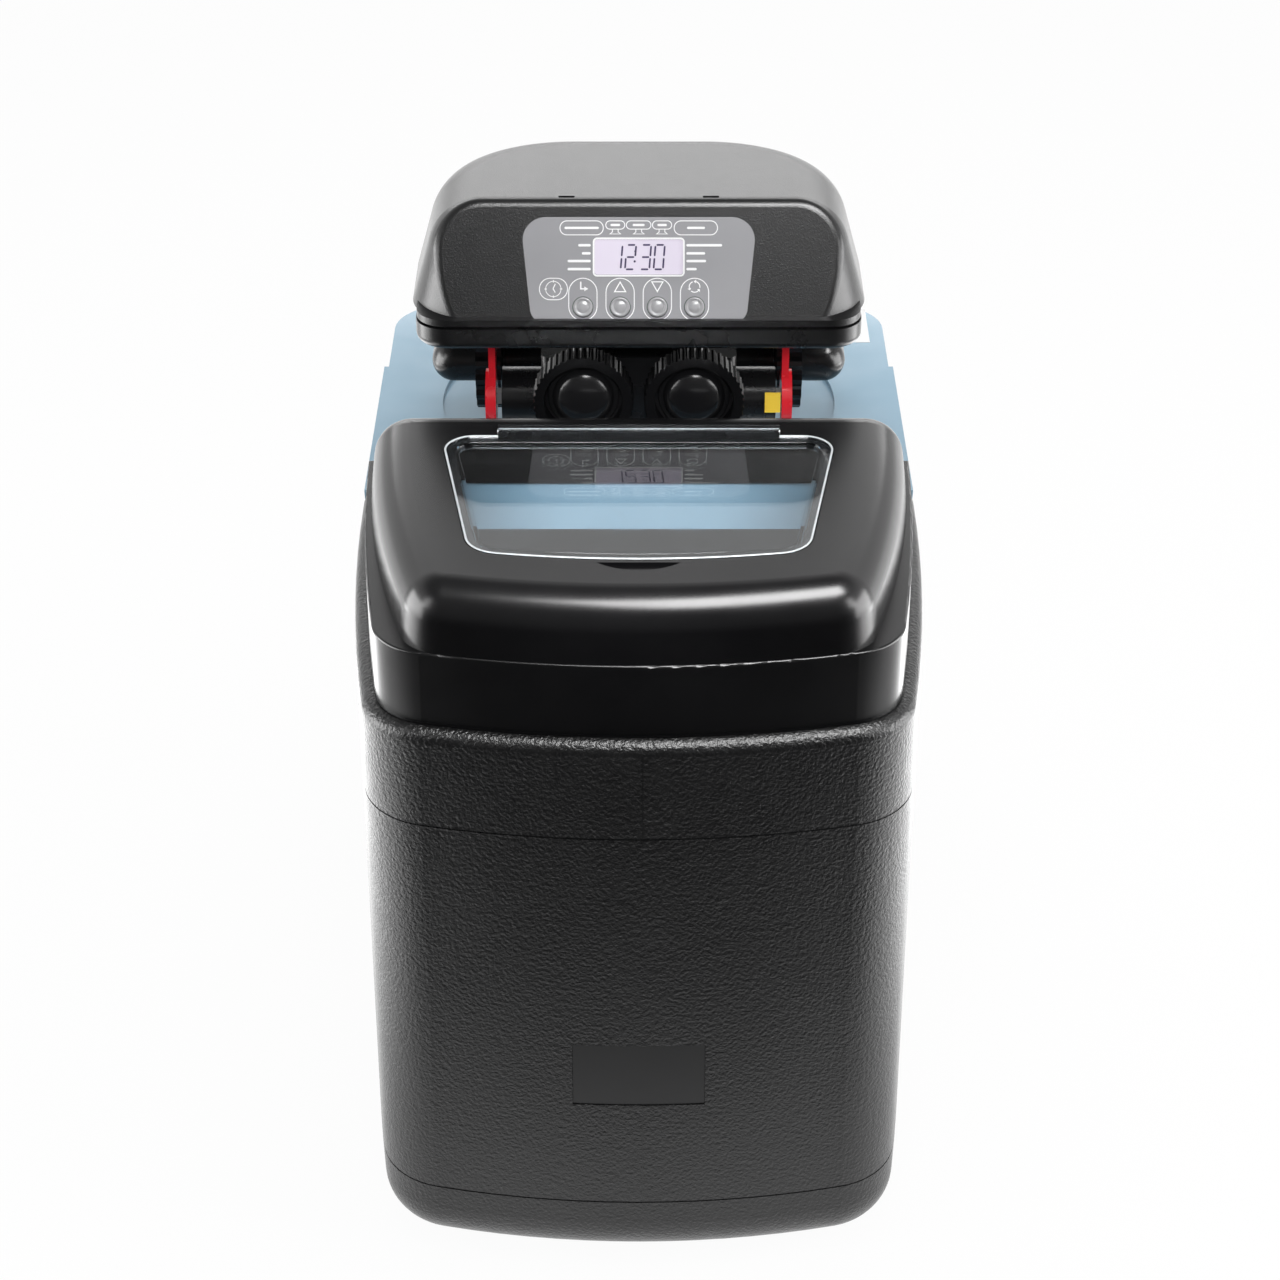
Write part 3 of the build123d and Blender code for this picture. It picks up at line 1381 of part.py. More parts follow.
def cover_form(inset):
    """Cover as a solid: leaning sides, crowned top and a raked front."""
    lip_y = at_depth(cover_front_depth)
    rear = at_depth(cover_rear_depth) - inset
    front = lip_y - overrun
    rake = tan(radians(cover_lean))
    ridge_y = lip_y + (cover_top - cover_bottom) * rake
    fall = cover_rear_fall / (at_depth(cover_rear_depth) - ridge_y)
    highest = cover_top - inset + (ridge_y - front) * fall
    with BuildPart() as form:
        with BuildSketch(level(cover_bottom)):
            with Locations((0, (front + rear) / 2)):
                Rectangle((cover_half_x - inset) * 2, rear - front)
            fillet(vertices().group_by(Axis.Y)[0], cover_front_radius - inset)
            fillet(vertices().group_by(Axis.Y)[-1], cover_rear_radius - inset)
        extrude(amount=highest - cover_bottom, taper=cover_side_lean)
        # Top falls away to the rear
        with BuildSketch(Plane.YZ):
            with BuildLine():
                Polyline(
                    (front - overrun, highest + overrun * fall),
                    (rear + overrun, highest - (rear + overrun - front) * fall),
                    (rear + overrun, highest + overrun),
                    (front - overrun, highest + overrun),
                    close=True,
                )
            make_face()
        extrude(amount=body_width, both=True, mode=Mode.SUBTRACT)
        crown = faces().filter_by(lambda face: face.normal_at().Z > crown_steepness)
        fillet(crown.edges(), cover_crown_radius - inset)
        # Raked front face
        run = inset / cos(radians(cover_lean))
        low = lip_y + run
        with BuildSketch(Plane.YZ):
            with BuildLine():
                Polyline(
                    (low - body_depth, cover_bottom - overrun),
                    (low - overrun * rake, cover_bottom - overrun),
                    (low + (highest - cover_bottom + overrun) * rake, highest + overrun),
                    (low - body_depth, highest + overrun),
                    close=True,
                )
            make_face()
        extrude(amount=body_width, both=True, mode=Mode.SUBTRACT)
        if inset == 0:
            raked = faces().sort_by(Axis.Y)[0]
            fillet(raked.edges().sort_by(Axis.Z)[1:], cover_face_radius)
    return form.part


cover_outside = cover_form(0)
lean = radians(cover_lean)
panel_origin = (0, at_depth(cover_front_depth), cover_bottom)
panel_plane = Plane(origin=panel_origin, x_dir=(1, 0, 0), z_dir=(0, -cos(lean), sin(lean)))


def panel_plan(inset):
    """Outline of the overlay on the raked face, upward from the cover's lip."""
    with BuildSketch() as plan:
        with BuildLine():
            low = panel_start
            high = panel_start + panel_height
            Polyline(
                (-panel_bottom_half_x, low),
                (panel_bottom_half_x, low),
                (panel_top_half_x, high),
                (-panel_top_half_x, high),
                close=True,
            )
        make_face()
        fillet(vertices().group_by(Axis.Y)[0], panel_bottom_radius)
        fillet(vertices().group_by(Axis.Y)[-1], panel_top_radius)
        if inset != 0:
            offset(amount=-inset, mode=Mode.REPLACE)
    return plan.sketch


button_places = [button_spacing * (index - 1.5) for index in range(4)]
with BuildPart() as cover_core:
    add(cover_form(cover_wall))
    with BuildSketch(level(cover_bottom)):
        with Locations((0, at_depth((cover_front_depth + cover_rear_depth) / 2))):
            Rectangle(body_width, body_depth)
    extrude(amount=cover_flange, mode=Mode.SUBTRACT)

with BuildPart() as valve_cover:
    add(cover_outside)
    with BuildSketch(level(cover_bottom)):
        add(tray_plan(cover_lip_inset))
    extrude(amount=cover_lip)
    add(cover_core.part, mode=Mode.SUBTRACT)
    # Spigot that locates in the tray, open in the middle
    with BuildSketch(level(cover_bottom - cover_seam - cover_spigot)):
        add(tray_plan(tray_edge_radius + seat_gap))
    extrude(amount=cover_spigot + cover_seam + cover_flange)
    with BuildSketch(level(cover_bottom - cover_seam - cover_spigot)):
        add(tray_plan(tray_edge_radius + seat_gap + cover_wall))
    extrude(amount=cover_spigot + cover_seam + cover_flange, mode=Mode.SUBTRACT)
    with BuildSketch(panel_plane.offset(-panel_recess)):
        add(panel_plan(-seat_gap))
    extrude(amount=panel_recess + overrun, mode=Mode.SUBTRACT)
    with BuildSketch(panel_plane.offset(overrun)):
        with Locations((0, lcd_start + lcd_height / 2)):
            Rectangle((lcd_half_x + seat_gap) * 2, lcd_height + seat_gap * 2)
        for x in button_places:
            with Locations((x, button_start)):
                Circle(button_radius + slide_gap)
    extrude(amount=-(cover_wall + overrun * 2), mode=Mode.SUBTRACT)
    # Posts behind the panel that carry the circuit board
    with BuildSketch(panel_plane.offset(-cover_wall / 2)):
        for post_start in (board_start + board_post_inset, board_start + board_height - board_post_inset):
            with Locations((-board_post_x, post_start), (board_post_x, post_start)):
                Circle(board_post_radius)
    extrude(amount=-(board_gap - cover_wall / 2))
    # Clip slots in the top, behind the raked face
    slot_depth = cover_front_depth + (cover_top - cover_bottom) * tan(lean) + clip_slot_back
    with BuildSketch(level(cover_top - cover_wall * 3)):
        for side in (-1, 1):
            with Locations((side * clip_slot_x, at_depth(slot_depth))):
                Rectangle(clip_slot_width, clip_slot_length)
    extrude(amount=cover_wall * 4, mode=Mode.SUBTRACT)
valve_cover.part.label = "valve_cover"
export_step(valve_cover.part, "parts/valve_cover.step")

# Overlay, display and buttons
with BuildPart() as overlay_panel:
    with BuildSketch(panel_plane.offset(-panel_recess + running_gap)):
        add(panel_plan(0))
        with Locations((0, lcd_start + lcd_height / 2)):
            RectangleRounded(lcd_half_x * 2, lcd_height, seat_gap * 6, mode=Mode.SUBTRACT)
        for x in button_places:
            with Locations((x, button_start)):
                Circle(button_radius + seat_gap, mode=Mode.SUBTRACT)
    extrude(amount=panel_thickness)
overlay_panel.part.label = "overlay_panel"
export_step(overlay_panel.part, "parts/overlay_panel.step")

with BuildPart() as display_lens:
    with BuildSketch(panel_plane.offset(panel_thickness - panel_recess)):
        with Locations((0, lcd_start + lcd_height / 2)):
            RectangleRounded((lcd_half_x - seat_gap) * 2, lcd_height - seat_gap * 2, seat_gap * 5)
    extrude(amount=-(lens_thickness + cover_wall))
display_lens.part.label = "display_lens"
export_step(display_lens.part, "parts/display_lens.step")

dish_ball = (button_dish_radius**2 + button_dish**2) / (2 * button_dish)
for x, name in zip(button_places, ("button_next", "button_up", "button_down", "button_regen")):
    with BuildPart() as button:
        with BuildSketch(panel_plane.offset(-cover_wall)):
            with Locations((x, button_start)):
                Circle(button_radius)
        extrude(amount=cover_wall + button_height)
        fillet(faces().sort_by(Axis.Y)[0].edges(), seat_gap * 2)
        with BuildSketch(panel_plane.offset(-cover_wall)):
            with Locations((x, button_start)):
                Circle(button_stem_radius)
        extrude(amount=-(board_gap - cover_wall - button_travel - seat_gap))
        dish_centre = panel_plane.offset(button_height + dish_ball - button_dish)
        with Locations(dish_centre.location * Location((x, button_start, 0))):
            Sphere(dish_ball, mode=Mode.SUBTRACT)
    button.part.label = name
    export_step(button.part, "parts/" + name + ".step")

with BuildPart() as circuit_board:
    with BuildSketch(panel_plane.offset(-board_gap)):
        with Locations((0, board_start + board_height / 2)):
            Rectangle(board_half_x * 2, board_height)
    extrude(amount=-board_thickness)
circuit_board.part.label = "circuit_board"
export_step(circuit_board.part, "parts/circuit_board.step")

# Gear drive behind the panel
main_pitch = gear_module * main_teeth / 2
wheel_pitch = gear_module * wheel_teeth / 2
pinion_pitch = gear_module * pinion_teeth / 2
second_x = main_pitch + pinion_pitch + mesh_gap
first_x = second_x + wheel_pitch + pinion_pitch + mesh_gap
motor_x = first_x + wheel_pitch + pinion_pitch + mesh_gap
layer_step = gear_width + gear_gap
bracket_front = barrel_front_depth - seat_gap - bracket_thickness
main_layer = bracket_front - gear_gap - gear_width
second_layer = main_layer - layer_step
first_layer = second_layer - layer_step
bore_gap = rod_radius + running_gap


def gear_at(x, layer, outline):
    """One gear rim, from its layer's front face to its rear face."""
    with BuildPart() as wheel:
        with BuildSketch(facing(layer)):
            with Locations((x, barrel_height)):
                add(outline)
        extrude(amount=-gear_width)
    return wheel.part


main_plan = gear_plan(main_teeth, bore_gap, False)
wheel_plan = gear_plan(wheel_teeth, axle_radius + running_gap, False)
pinion_plan = gear_plan(pinion_teeth, axle_radius + running_gap, True)
motor_plan = gear_plan(pinion_teeth, 0, True)

main_rim = gear_at(0, main_layer, main_plan)
with BuildPart() as main_gear:
    add(main_rim)
    with BuildSketch(facing(main_layer)):
        with Locations((0, barrel_height)):
            Circle(rod_radius * 2)
            Circle(bore_gap, mode=Mode.SUBTRACT)
    extrude(amount=gear_gap * 2)
main_gear.part.label = "main_gear"
export_step(main_gear.part, "parts/main_gear.step")

for x, layer, name in ((second_x, second_layer, "second_gear"), (first_x, first_layer, "first_gear")):
    big_rim = gear_at(x, layer, wheel_plan)
    small_rim = gear_at(x, layer + layer_step, pinion_plan)
    with BuildPart() as cluster:
        add(big_rim)
        add(small_rim)
        with BuildSketch(facing(layer)):
            with Locations((x, barrel_height)):
                Circle(pinion_pitch - gear_module * dedendum_share)
                Circle(axle_radius + running_gap, mode=Mode.SUBTRACT)
        extrude(amount=-(layer_step + gear_width))
    cluster.part.label = name
    export_step(cluster.part, "parts/" + name + ".step")

pinion_rim = gear_at(motor_x, first_layer, motor_plan)
with BuildPart() as motor_pinion:
    add(pinion_rim)
    with BuildSketch(facing(first_layer + gear_width)):
        with Locations((motor_x, barrel_height)):
            Circle(motor_shaft_radius)
    extrude(amount=-(bracket_front - first_layer - gear_width - seat_gap))
motor_pinion.part.label = "motor_pinion"
export_step(motor_pinion.part, "parts/motor_pinion.step")

bracket_left = -main_pitch - bracket_margin
bracket_right = motor_x + bracket_margin * 2
bracket_bottom = tray_bottom + tray_wall + seat_gap
with BuildPart() as drive_bracket:
    with BuildSketch(facing(bracket_front)):
        with Locations(((bracket_left + bracket_right) / 2, barrel_height)):
            Rectangle(bracket_right - bracket_left, bracket_half_height * 2)
        with Locations(((bracket_left + bracket_right) / 2, (barrel_height + bracket_bottom) / 2)):
            Rectangle((bracket_right - bracket_left) * 0.8, barrel_height - bracket_bottom)
        with Locations((0, barrel_height)):
            Circle(rod_radius * 2, mode=Mode.SUBTRACT)
        with Locations((motor_x, barrel_height)):
            Circle(motor_shaft_radius * 2, mode=Mode.SUBTRACT)
        with Locations((second_x, barrel_height), (first_x, barrel_height)):
            Circle(axle_radius, mode=Mode.SUBTRACT)
    extrude(amount=-bracket_thickness)
    screw_places = [(0, barrel_height + side * bracket_screw_offset) for side in (-1, 1)]
    with BuildSketch(facing(bracket_front)):
        with Locations(*screw_places):
            Circle(screw_head_radius + running_gap)
    extrude(amount=-(screw_head + running_gap * 2), mode=Mode.SUBTRACT)
    with BuildSketch(facing(bracket_front)):
        with Locations(*screw_places):
            Circle(screw_radius + running_gap)
    extrude(amount=-bracket_thickness, mode=Mode.SUBTRACT)
drive_bracket.part.label = "drive_bracket"
export_step(drive_bracket.part, "parts/drive_bracket.step")

with BuildPart() as gear_axles:
    for x, layer in ((second_x, second_layer), (first_x, first_layer)):
        with BuildSketch(facing(layer - seat_gap)):
            with Locations((x, barrel_height)):
                Circle(axle_radius)
        extrude(amount=-(bracket_front + bracket_thickness - layer + seat_gap))
gear_axles.part.label = "gear_axles"
export_step(gear_axles.part, "parts/gear_axles.step")

motor_front = bracket_front + bracket_thickness + seat_gap
with BuildPart() as drive_motor:
    with BuildSketch(facing(motor_front)):
        with Locations((motor_x, barrel_height)):
            Circle(motor_radius)
    extrude(amount=-motor_length)
    fillet(faces().sort_by(Axis.Y)[-1].edges(), motor_shaft_radius)
drive_motor.part.label = "drive_motor"
export_step(drive_motor.part, "parts/drive_motor.step")

# Power inlet gland at the back of the tray
inlet_y = tray_rear_depth + seat_gap
with BuildPart() as power_inlet:
    with BuildSketch(facing(inlet_y)):
        with Locations((power_inlet_x, (tray_bottom + tray_top) / 2)):
            Circle(tray_height / 2 - seat_gap)
    extrude(amount=-power_inlet_length)
    with BuildSketch(facing(inlet_y + power_inlet_length)):
        with Locations((power_inlet_x, (tray_bottom + tray_top) / 2)):
            Circle(tray_height / 5)
    extrude(amount=power_inlet_length, mode=Mode.SUBTRACT)
power_inlet.part.label = "power_inlet"
export_step(power_inlet.part, "parts/power_inlet.step")

# Brine line from the air check up the well, along the side and over the deck to the valve
line_mouth = fitting_height - fitting_radius - fitting_tail
line_end_y = at_depth(fitting_start + fitting_length)
line_route = [
    (line_well_x, well_y, line_foot),
    (line_well_x, well_y, line_run_height),
    (line_well_x, at_depth(widest_depth), line_run_height),
    (line_side_x, at_depth(well_depth - well_radius / 2), line_run_height),
    (line_side_x, at_depth(well_depth + well_radius / 2), line_run_height),
    (line_corner_x, at_depth(line_corner_depth), line_run_height),
    (line_corner_x, at_depth(line_corner_depth), line_deck_height),
    (-fitting_x, line_end_y, line_deck_height),
    (-fitting_x, line_end_y, line_mouth),
]


def route_radii(points, share):
    """Bend radius at each corner, as large as its two runs allow."""
    radii = []
    for before, here, after in zip(points, points[1:], points[2:]):
        run_in = Vector(*here) - Vector(*before)
        run_out = Vector(*after) - Vector(*here)
        turn = radians(run_in.get_angle(run_out))
        radii.append(share * min(run_in.length, run_out.length) / tan(turn / 2))
    return radii


line_radii = [min(radius, line_bend) for radius in route_radii(line_route, line_bend_share)]
print("brine line bend radii", [round(radius, 1) for radius in line_radii])
with BuildPart() as brine_line:
    with BuildLine() as line_path:
        FilletPolyline(*line_route, radius=line_radii)
    with BuildSketch(level(line_foot)):
        with Locations((line_well_x, well_y)):
            Circle(brine_line_radius)
            Circle(brine_line_radius - brine_line_wall, mode=Mode.SUBTRACT)
    sweep(path=line_path.wires()[0])
line_length = line_path.wires()[0].length
line_section = pi * (brine_line_radius**2 - (brine_line_radius - brine_line_wall) ** 2)
line_share = brine_line.part.volume / line_length / line_section
print("brine line length", round(line_length), "volume share", line_share)
brine_line.part.label = "brine_line"
export_step(brine_line.part, "parts/brine_line.step")

# Countersunk screws that hold the drive bracket to the end of the valve barrel
with BuildPart() as bracket_screws:
    for side in (-1, 1):
        screw_height = barrel_height + side * bracket_screw_offset
        with BuildSketch(facing(bracket_front + running_gap)):
            with Locations((0, screw_height)):
                Circle(screw_head_radius)
        extrude(amount=-screw_head)
        with BuildSketch(facing(bracket_front + running_gap)):
            with Locations((0, screw_height)):
                Circle(screw_radius)
        extrude(amount=-screw_length)
bracket_screws.part.label = "bracket_screws"
export_step(bracket_screws.part, "parts/bracket_screws.step")
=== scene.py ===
import json
from math import cos, pi, radians, sin

import bmesh
import bpy
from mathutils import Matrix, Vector


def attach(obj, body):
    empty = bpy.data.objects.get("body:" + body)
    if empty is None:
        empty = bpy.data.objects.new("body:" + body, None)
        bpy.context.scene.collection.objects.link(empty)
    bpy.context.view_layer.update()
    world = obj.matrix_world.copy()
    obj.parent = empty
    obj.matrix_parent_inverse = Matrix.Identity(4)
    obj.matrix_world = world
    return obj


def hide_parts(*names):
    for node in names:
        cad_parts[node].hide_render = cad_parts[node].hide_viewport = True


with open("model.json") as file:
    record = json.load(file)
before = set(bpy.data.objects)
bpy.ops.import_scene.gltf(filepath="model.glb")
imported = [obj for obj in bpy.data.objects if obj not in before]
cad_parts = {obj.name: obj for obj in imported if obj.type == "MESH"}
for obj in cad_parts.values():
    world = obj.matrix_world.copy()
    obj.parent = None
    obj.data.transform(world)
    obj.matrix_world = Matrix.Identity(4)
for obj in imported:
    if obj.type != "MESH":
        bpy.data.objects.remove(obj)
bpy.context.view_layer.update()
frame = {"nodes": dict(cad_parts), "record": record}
nodes = frame["nodes"]
scene = bpy.context.scene

# Camera, looking down by its pitch in degrees
CAMERA_PITCH = 30.8
camera_data = bpy.data.cameras.new("camera")
camera_data.lens = 86.43
camera_data.sensor_width = 36.0
camera_data.shift_x = 0.001
camera = bpy.data.objects.new("camera", camera_data)
camera.location = (0.0, -1.5857, 1.189)
camera.rotation_euler = (radians(90 - CAMERA_PITCH), 0.0, 0.0)
scene.collection.objects.link(camera)
scene.camera = camera
scene.view_settings.view_transform = "Standard"


# Node trees
class Tree:
    """A node tree, with short calls for the nodes that it needs."""

    def __init__(self, tree):
        self.tree = tree

    def node(self, kind, **settings):
        made = self.tree.nodes.new(kind)
        for key, value in settings.items():
            setattr(made, key, value)
        return made

    def link(self, out, socket):
        self.tree.links.new(out, socket)

    def feed(self, value, socket):
        """Sets a socket to a number, or links it to an output."""
        if isinstance(value, float):
            socket.default_value = value
        else:
            self.link(value, socket)

    def ramp(self, value, low, high, start=0.35, end=0.65):
        """The value's span from start to end, mapped to low and high."""
        span = self.node("ShaderNodeMapRange")
        for key, number in (("From Min", start), ("From Max", end), ("To Min", low), ("To Max", high)):
            span.inputs[key].default_value = number
        self.link(value, span.inputs["Value"])
        return span.outputs["Result"]

    def maths(self, operation, *values):
        made = self.node("ShaderNodeMath", operation=operation)
        for socket, value in zip(made.inputs, values):
            self.feed(value, socket)
        return made.outputs[0]

    def choose(self, factor, first, second):
        """The first value where the factor is 0, and the second where it is 1."""
        mix = self.node("ShaderNodeMix")
        for key, value in (("Factor", factor), ("A", first), ("B", second)):
            self.feed(value, mix.inputs[key])
        return mix.outputs["Result"]

    def surface(self, factor, first, second, output):
        """Two shaders mixed into the tree's output node."""
        mix = self.node("ShaderNodeMixShader")
        self.link(factor, mix.inputs["Fac"])
        self.link(first, mix.inputs[1])
        self.link(second, mix.inputs[2])
        self.link(mix.outputs[0], self.tree.nodes[output].inputs["Surface"])


class Shader(Tree):
    """One material, with its colour, gloss and bumps."""

    def __init__(self, name):
        self.material = bpy.data.materials.new(name)
        self.material.use_nodes = True
        super().__init__(self.material.node_tree)
        self.bsdf = self.tree.nodes["Principled BSDF"]
        self.where = self.node("ShaderNodeTexCoord").outputs["Object"]

    def noise(self, scale, detail=2.0, stretch=None):
        texture = self.node("ShaderNodeTexNoise")
        texture.inputs["Scale"].default_value = scale
        texture.inputs["Detail"].default_value = detail
        source = self.where
        if stretch:
            mapping = self.node("ShaderNodeMapping")
            mapping.inputs["Scale"].default_value = stretch
            self.link(self.where, mapping.inputs["Vector"])
            source = mapping.outputs["Vector"]
        self.link(source, texture.inputs["Vector"])
        return texture.outputs["Fac"]

    def colours(self, value, dark, light):
        mixed = self.node("ShaderNodeMix", data_type="RGBA")
        mixed.inputs[6].default_value = (*dark, 1)
        mixed.inputs[7].default_value = (*light, 1)
        self.link(self.ramp(value, 0.0, 1.0), mixed.inputs["Factor"])
        self.link(mixed.outputs[2], self.bsdf.inputs["Base Color"])

    def roughness(self, value, low, high):
        self.link(self.ramp(value, low, high), self.bsdf.inputs["Roughness"])

    def bump(self, height, distance, strength=1.0):
        """Bump on top of those already there."""
        bump = self.node("ShaderNodeBump")
        bump.inputs["Distance"].default_value = distance
        bump.inputs["Strength"].default_value = strength
        self.link(height, bump.inputs["Height"])
        if self.bsdf.inputs["Normal"].links:
            self.link(self.bsdf.inputs["Normal"].links[0].from_socket, bump.inputs["Normal"])
        self.link(bump.outputs["Normal"], self.bsdf.inputs["Normal"])


# Kinds of material. Lengths in them are metres, and scales are per metre
def plastic(name, dark, light, rough, spread=0.04, grain=900.0, grain_depth=0.00004, wave=0.0):
    """Moulded plastic: two close tones, uneven gloss, a fine grain and slight waviness."""
    s = Shader(name)
    s.colours(s.noise(14.0, 3.0), dark, light)
    s.roughness(s.noise(60.0, 4.0), rough - spread, rough + spread)
    if wave:
        s.bump(s.noise(12.0, 1.0), wave, 0.5)
    s.bump(s.noise(grain), grain_depth, 0.6)
    s.bsdf.inputs["Specular IOR Level"].default_value = 0.5
    return s.material


def metal(name, dark, light, rough, stretch=(1.0, 1.0, 1.0)):
    """Metal with fine drawn lines."""
    s = Shader(name)
    s.colours(s.noise(200.0, 3.0, stretch), dark, light)
    s.bsdf.inputs["Metallic"].default_value = 1.0
    s.roughness(s.noise(500.0, 3.0, stretch), rough - 0.06, rough + 0.08)
    s.bump(s.noise(900.0, 2.0, stretch), 0.00002, 0.5)
    return s.material


def orange_peel(name, dark, light, rough, cell, depth, spread):
    """Textured moulding: rounded pebbles of two sizes."""
    fine_cell, fine_depth = 2.7, 0.35
    s = Shader(name)
    s.colours(s.noise(20.0, 4.0), dark, light)
    s.roughness(s.noise(90.0, 3.0), rough - spread, rough + spread)
    s.bump(s.noise(cell, 1.5), depth, 0.9)
    s.bump(s.noise(cell * fine_cell), depth * fine_depth, 0.7)
    s.bsdf.inputs["Specular IOR Level"].default_value = 0.5
    return s.material


black_textured = orange_peel("black_textured", (0.0032, 0.0032, 0.0036), (0.0052, 0.0052, 0.0056),
                             rough=0.34, cell=520.0, depth=0.00065, spread=0.02)
black_fine = orange_peel("black_fine", (0.0062, 0.0062, 0.0066), (0.0070, 0.0070, 0.0074),
                         rough=0.28, cell=1300.0, depth=0.00012, spread=0.006)
black_satin = plastic("black_satin", (0.0022, 0.0022, 0.0026), (0.0034, 0.0034, 0.0038),
                      0.26, spread=0.01, grain=1500.0, grain_depth=0.00001, wave=0.0003)
black_gloss = plastic("black_gloss", (0.004, 0.004, 0.0045), (0.006, 0.006, 0.0065),
                      0.20, spread=0.01, grain=1500.0, grain_depth=0.00001)
# Light grey, a painted highlight for the bright edges of the clear hatch
painted_edge_highlight = plastic("painted_edge_highlight", (0.50, 0.53, 0.55), (0.62, 0.65, 0.67),
                     0.16, spread=0.03, grain=1500.0, grain_depth=0.00001)
light_blue = plastic("light_blue", (0.26, 0.42, 0.54), (0.30, 0.46, 0.58),
                     0.12, spread=0.02, grain=1200.0, grain_depth=0.000012, wave=0.0004)
valve_black = plastic("valve_black", (0.004, 0.004, 0.0045), (0.007, 0.007, 0.0075),
                      0.28, spread=0.03, grain=1000.0)
handle_red = plastic("handle_red", (0.66, 0.015, 0.026), (0.71, 0.023, 0.035), 0.26, spread=0.03)
white_plastic = plastic("white_plastic", (0.74, 0.74, 0.71), (0.82, 0.82, 0.80), 0.38, spread=0.05)
grey_plastic = plastic("grey_plastic", (0.17, 0.175, 0.18), (0.23, 0.235, 0.24), 0.40, spread=0.05)
tube_white = plastic("tube_white", (0.66, 0.70, 0.72), (0.76, 0.79, 0.80), 0.30)
float_white = plastic("float_white", (0.78, 0.75, 0.64), (0.86, 0.84, 0.76), 0.45, spread=0.05)
frp_grey = plastic("frp_grey", (0.30, 0.33, 0.34), (0.42, 0.45, 0.46),
                   0.35, spread=0.08, grain=300.0, grain_depth=0.0002)
grey_overlay = plastic("grey_overlay", (0.30, 0.30, 0.315), (0.32, 0.32, 0.335),
                       0.24, spread=0.02, grain=2200.0, grain_depth=0.00001)
button_grey = plastic("button_grey", (0.33, 0.33, 0.34), (0.37, 0.37, 0.38),
                      0.22, spread=0.02, grain=1800.0, grain_depth=0.00001)
print_white = plastic("print_white", (0.86, 0.86, 0.87), (0.93, 0.93, 0.94), 0.35, spread=0.02)
lcd_lilac = plastic("lcd_lilac", (0.74, 0.68, 0.80), (0.80, 0.74, 0.86),
                    0.18, spread=0.02, grain=2500.0, grain_depth=0.000005)
lcd_digit = plastic("lcd_digit", (0.035, 0.020, 0.085), (0.045, 0.028, 0.10), 0.30, spread=0.02)
label_black = plastic("label_black", (0.0040, 0.0040, 0.0045), (0.0052, 0.0052, 0.0058),
                      0.30, spread=0.02, grain=2500.0, grain_depth=0.000006)
sticker_white = plastic("sticker_white", (0.80, 0.80, 0.80), (0.88, 0.88, 0.88), 0.40, spread=0.03)
tag_yellow = plastic("tag_yellow", (0.78, 0.50, 0.03), (0.85, 0.58, 0.06), 0.40, spread=0.03)
steel = metal("steel", (0.50, 0.50, 0.51), (0.66, 0.66, 0.67), 0.26, stretch=(1.0, 8.0, 1.0))
motor_grey = metal("motor_grey", (0.30, 0.30, 0.31), (0.40, 0.40, 0.41), 0.36)
board_green = plastic("board_green", (0.010, 0.10, 0.035), (0.016, 0.14, 0.05), 0.30, spread=0.03)

resin = Shader("resin_amber")
resin.colours(resin.noise(700.0), (0.28, 0.11, 0.015), (0.55, 0.27, 0.06))
resin.bump(resin.noise(900.0, 1.0), 0.0004)

clear = Shader("clear_plastic")
clear.bsdf.inputs["Base Color"].default_value = (0.80, 0.83, 0.85, 1)
clear.bsdf.inputs["Transmission Weight"].default_value = 1.0
clear.bsdf.inputs["IOR"].default_value = 1.49
clear.roughness(clear.noise(40.0, 3.0), 0.0, 0.03)
clear.bump(clear.noise(9.0, 1.0), 0.0003, 0.15)
# Light and shadow pass straight through the thin plate
passing = clear.node("ShaderNodeBsdfTransparent")
passing.inputs["Color"].default_value = (0.88, 0.90, 0.91, 1)
rays = clear.node("ShaderNodeLightPath").outputs
clear.surface(clear.maths("MAXIMUM", rays["Is Shadow Ray"], rays["Is Diffuse Ray"]),
              clear.bsdf.outputs[0], passing.outputs[0], "Material Output")

MATERIALS = {
    "black_textured": black_textured,
    "black_satin": black_satin,
    "light_blue": light_blue,
    "clear_plastic": clear.material,
    "grey_overlay": grey_overlay,
    "lcd": lcd_lilac,
    "button_grey": button_grey,
    "handle_red": handle_red,
    "valve_black": valve_black,
    "white_plastic": white_plastic,
    "grey_plastic": grey_plastic,
    "tube_white": tube_white,
    "resin_amber": resin.material,
    "frp_grey": frp_grey,
    "steel": steel,
    "motor_grey": motor_grey,
    "board_green": board_green,
    "float_white": float_white,
}
# Nodes that look unlike the others of their slot
OWN_PAINT = {
    "valve_cover": black_fine,
    "port_nuts": black_satin,
    "union_nuts": black_satin,
    "salt_divider": black_satin,
}
for part in frame["record"]["subparts"]:
    slots = nodes[part["node"]].data.materials
    slots.clear()
    slots.append(OWN_PAINT.get(part["node"]) or MATERIALS[part["material_slot"]])

# Mesh helpers. Their lengths are millimetres, and depth is measured from the front
MIDDLE_DEPTH = 278.0
SMOOTH_ANGLE = 40
ACROSS = Vector((1, 0, 0))
FORWARD = Vector((0, -1, 0))
BACKWARD = Vector((0, 1, 0))
DOWN = Vector((0, 0, -1))


def at(x, depth, z):
    """Point across, behind the front and up."""
    return Vector((x, depth - MIDDLE_DEPTH, z)) / 1000


def mesh_object(name, verts, faces, material, body, smooth=False):
    mesh = bpy.data.meshes.new(name)
    mesh.from_pydata([tuple(v) for v in verts], [], faces)
    made = bpy.data.objects.new(name, mesh)
    scene.collection.objects.link(made)
    bm = bmesh.new()
    bm.from_mesh(mesh)
    bmesh.ops.recalc_face_normals(bm, faces=bm.faces)
    bm.to_mesh(mesh)
    bm.free()
    if smooth:
        mesh.shade_smooth()
        mesh.set_sharp_from_angle(angle=radians(SMOOTH_ANGLE))
    mesh.materials.append(material)
    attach(made, body)
    return made


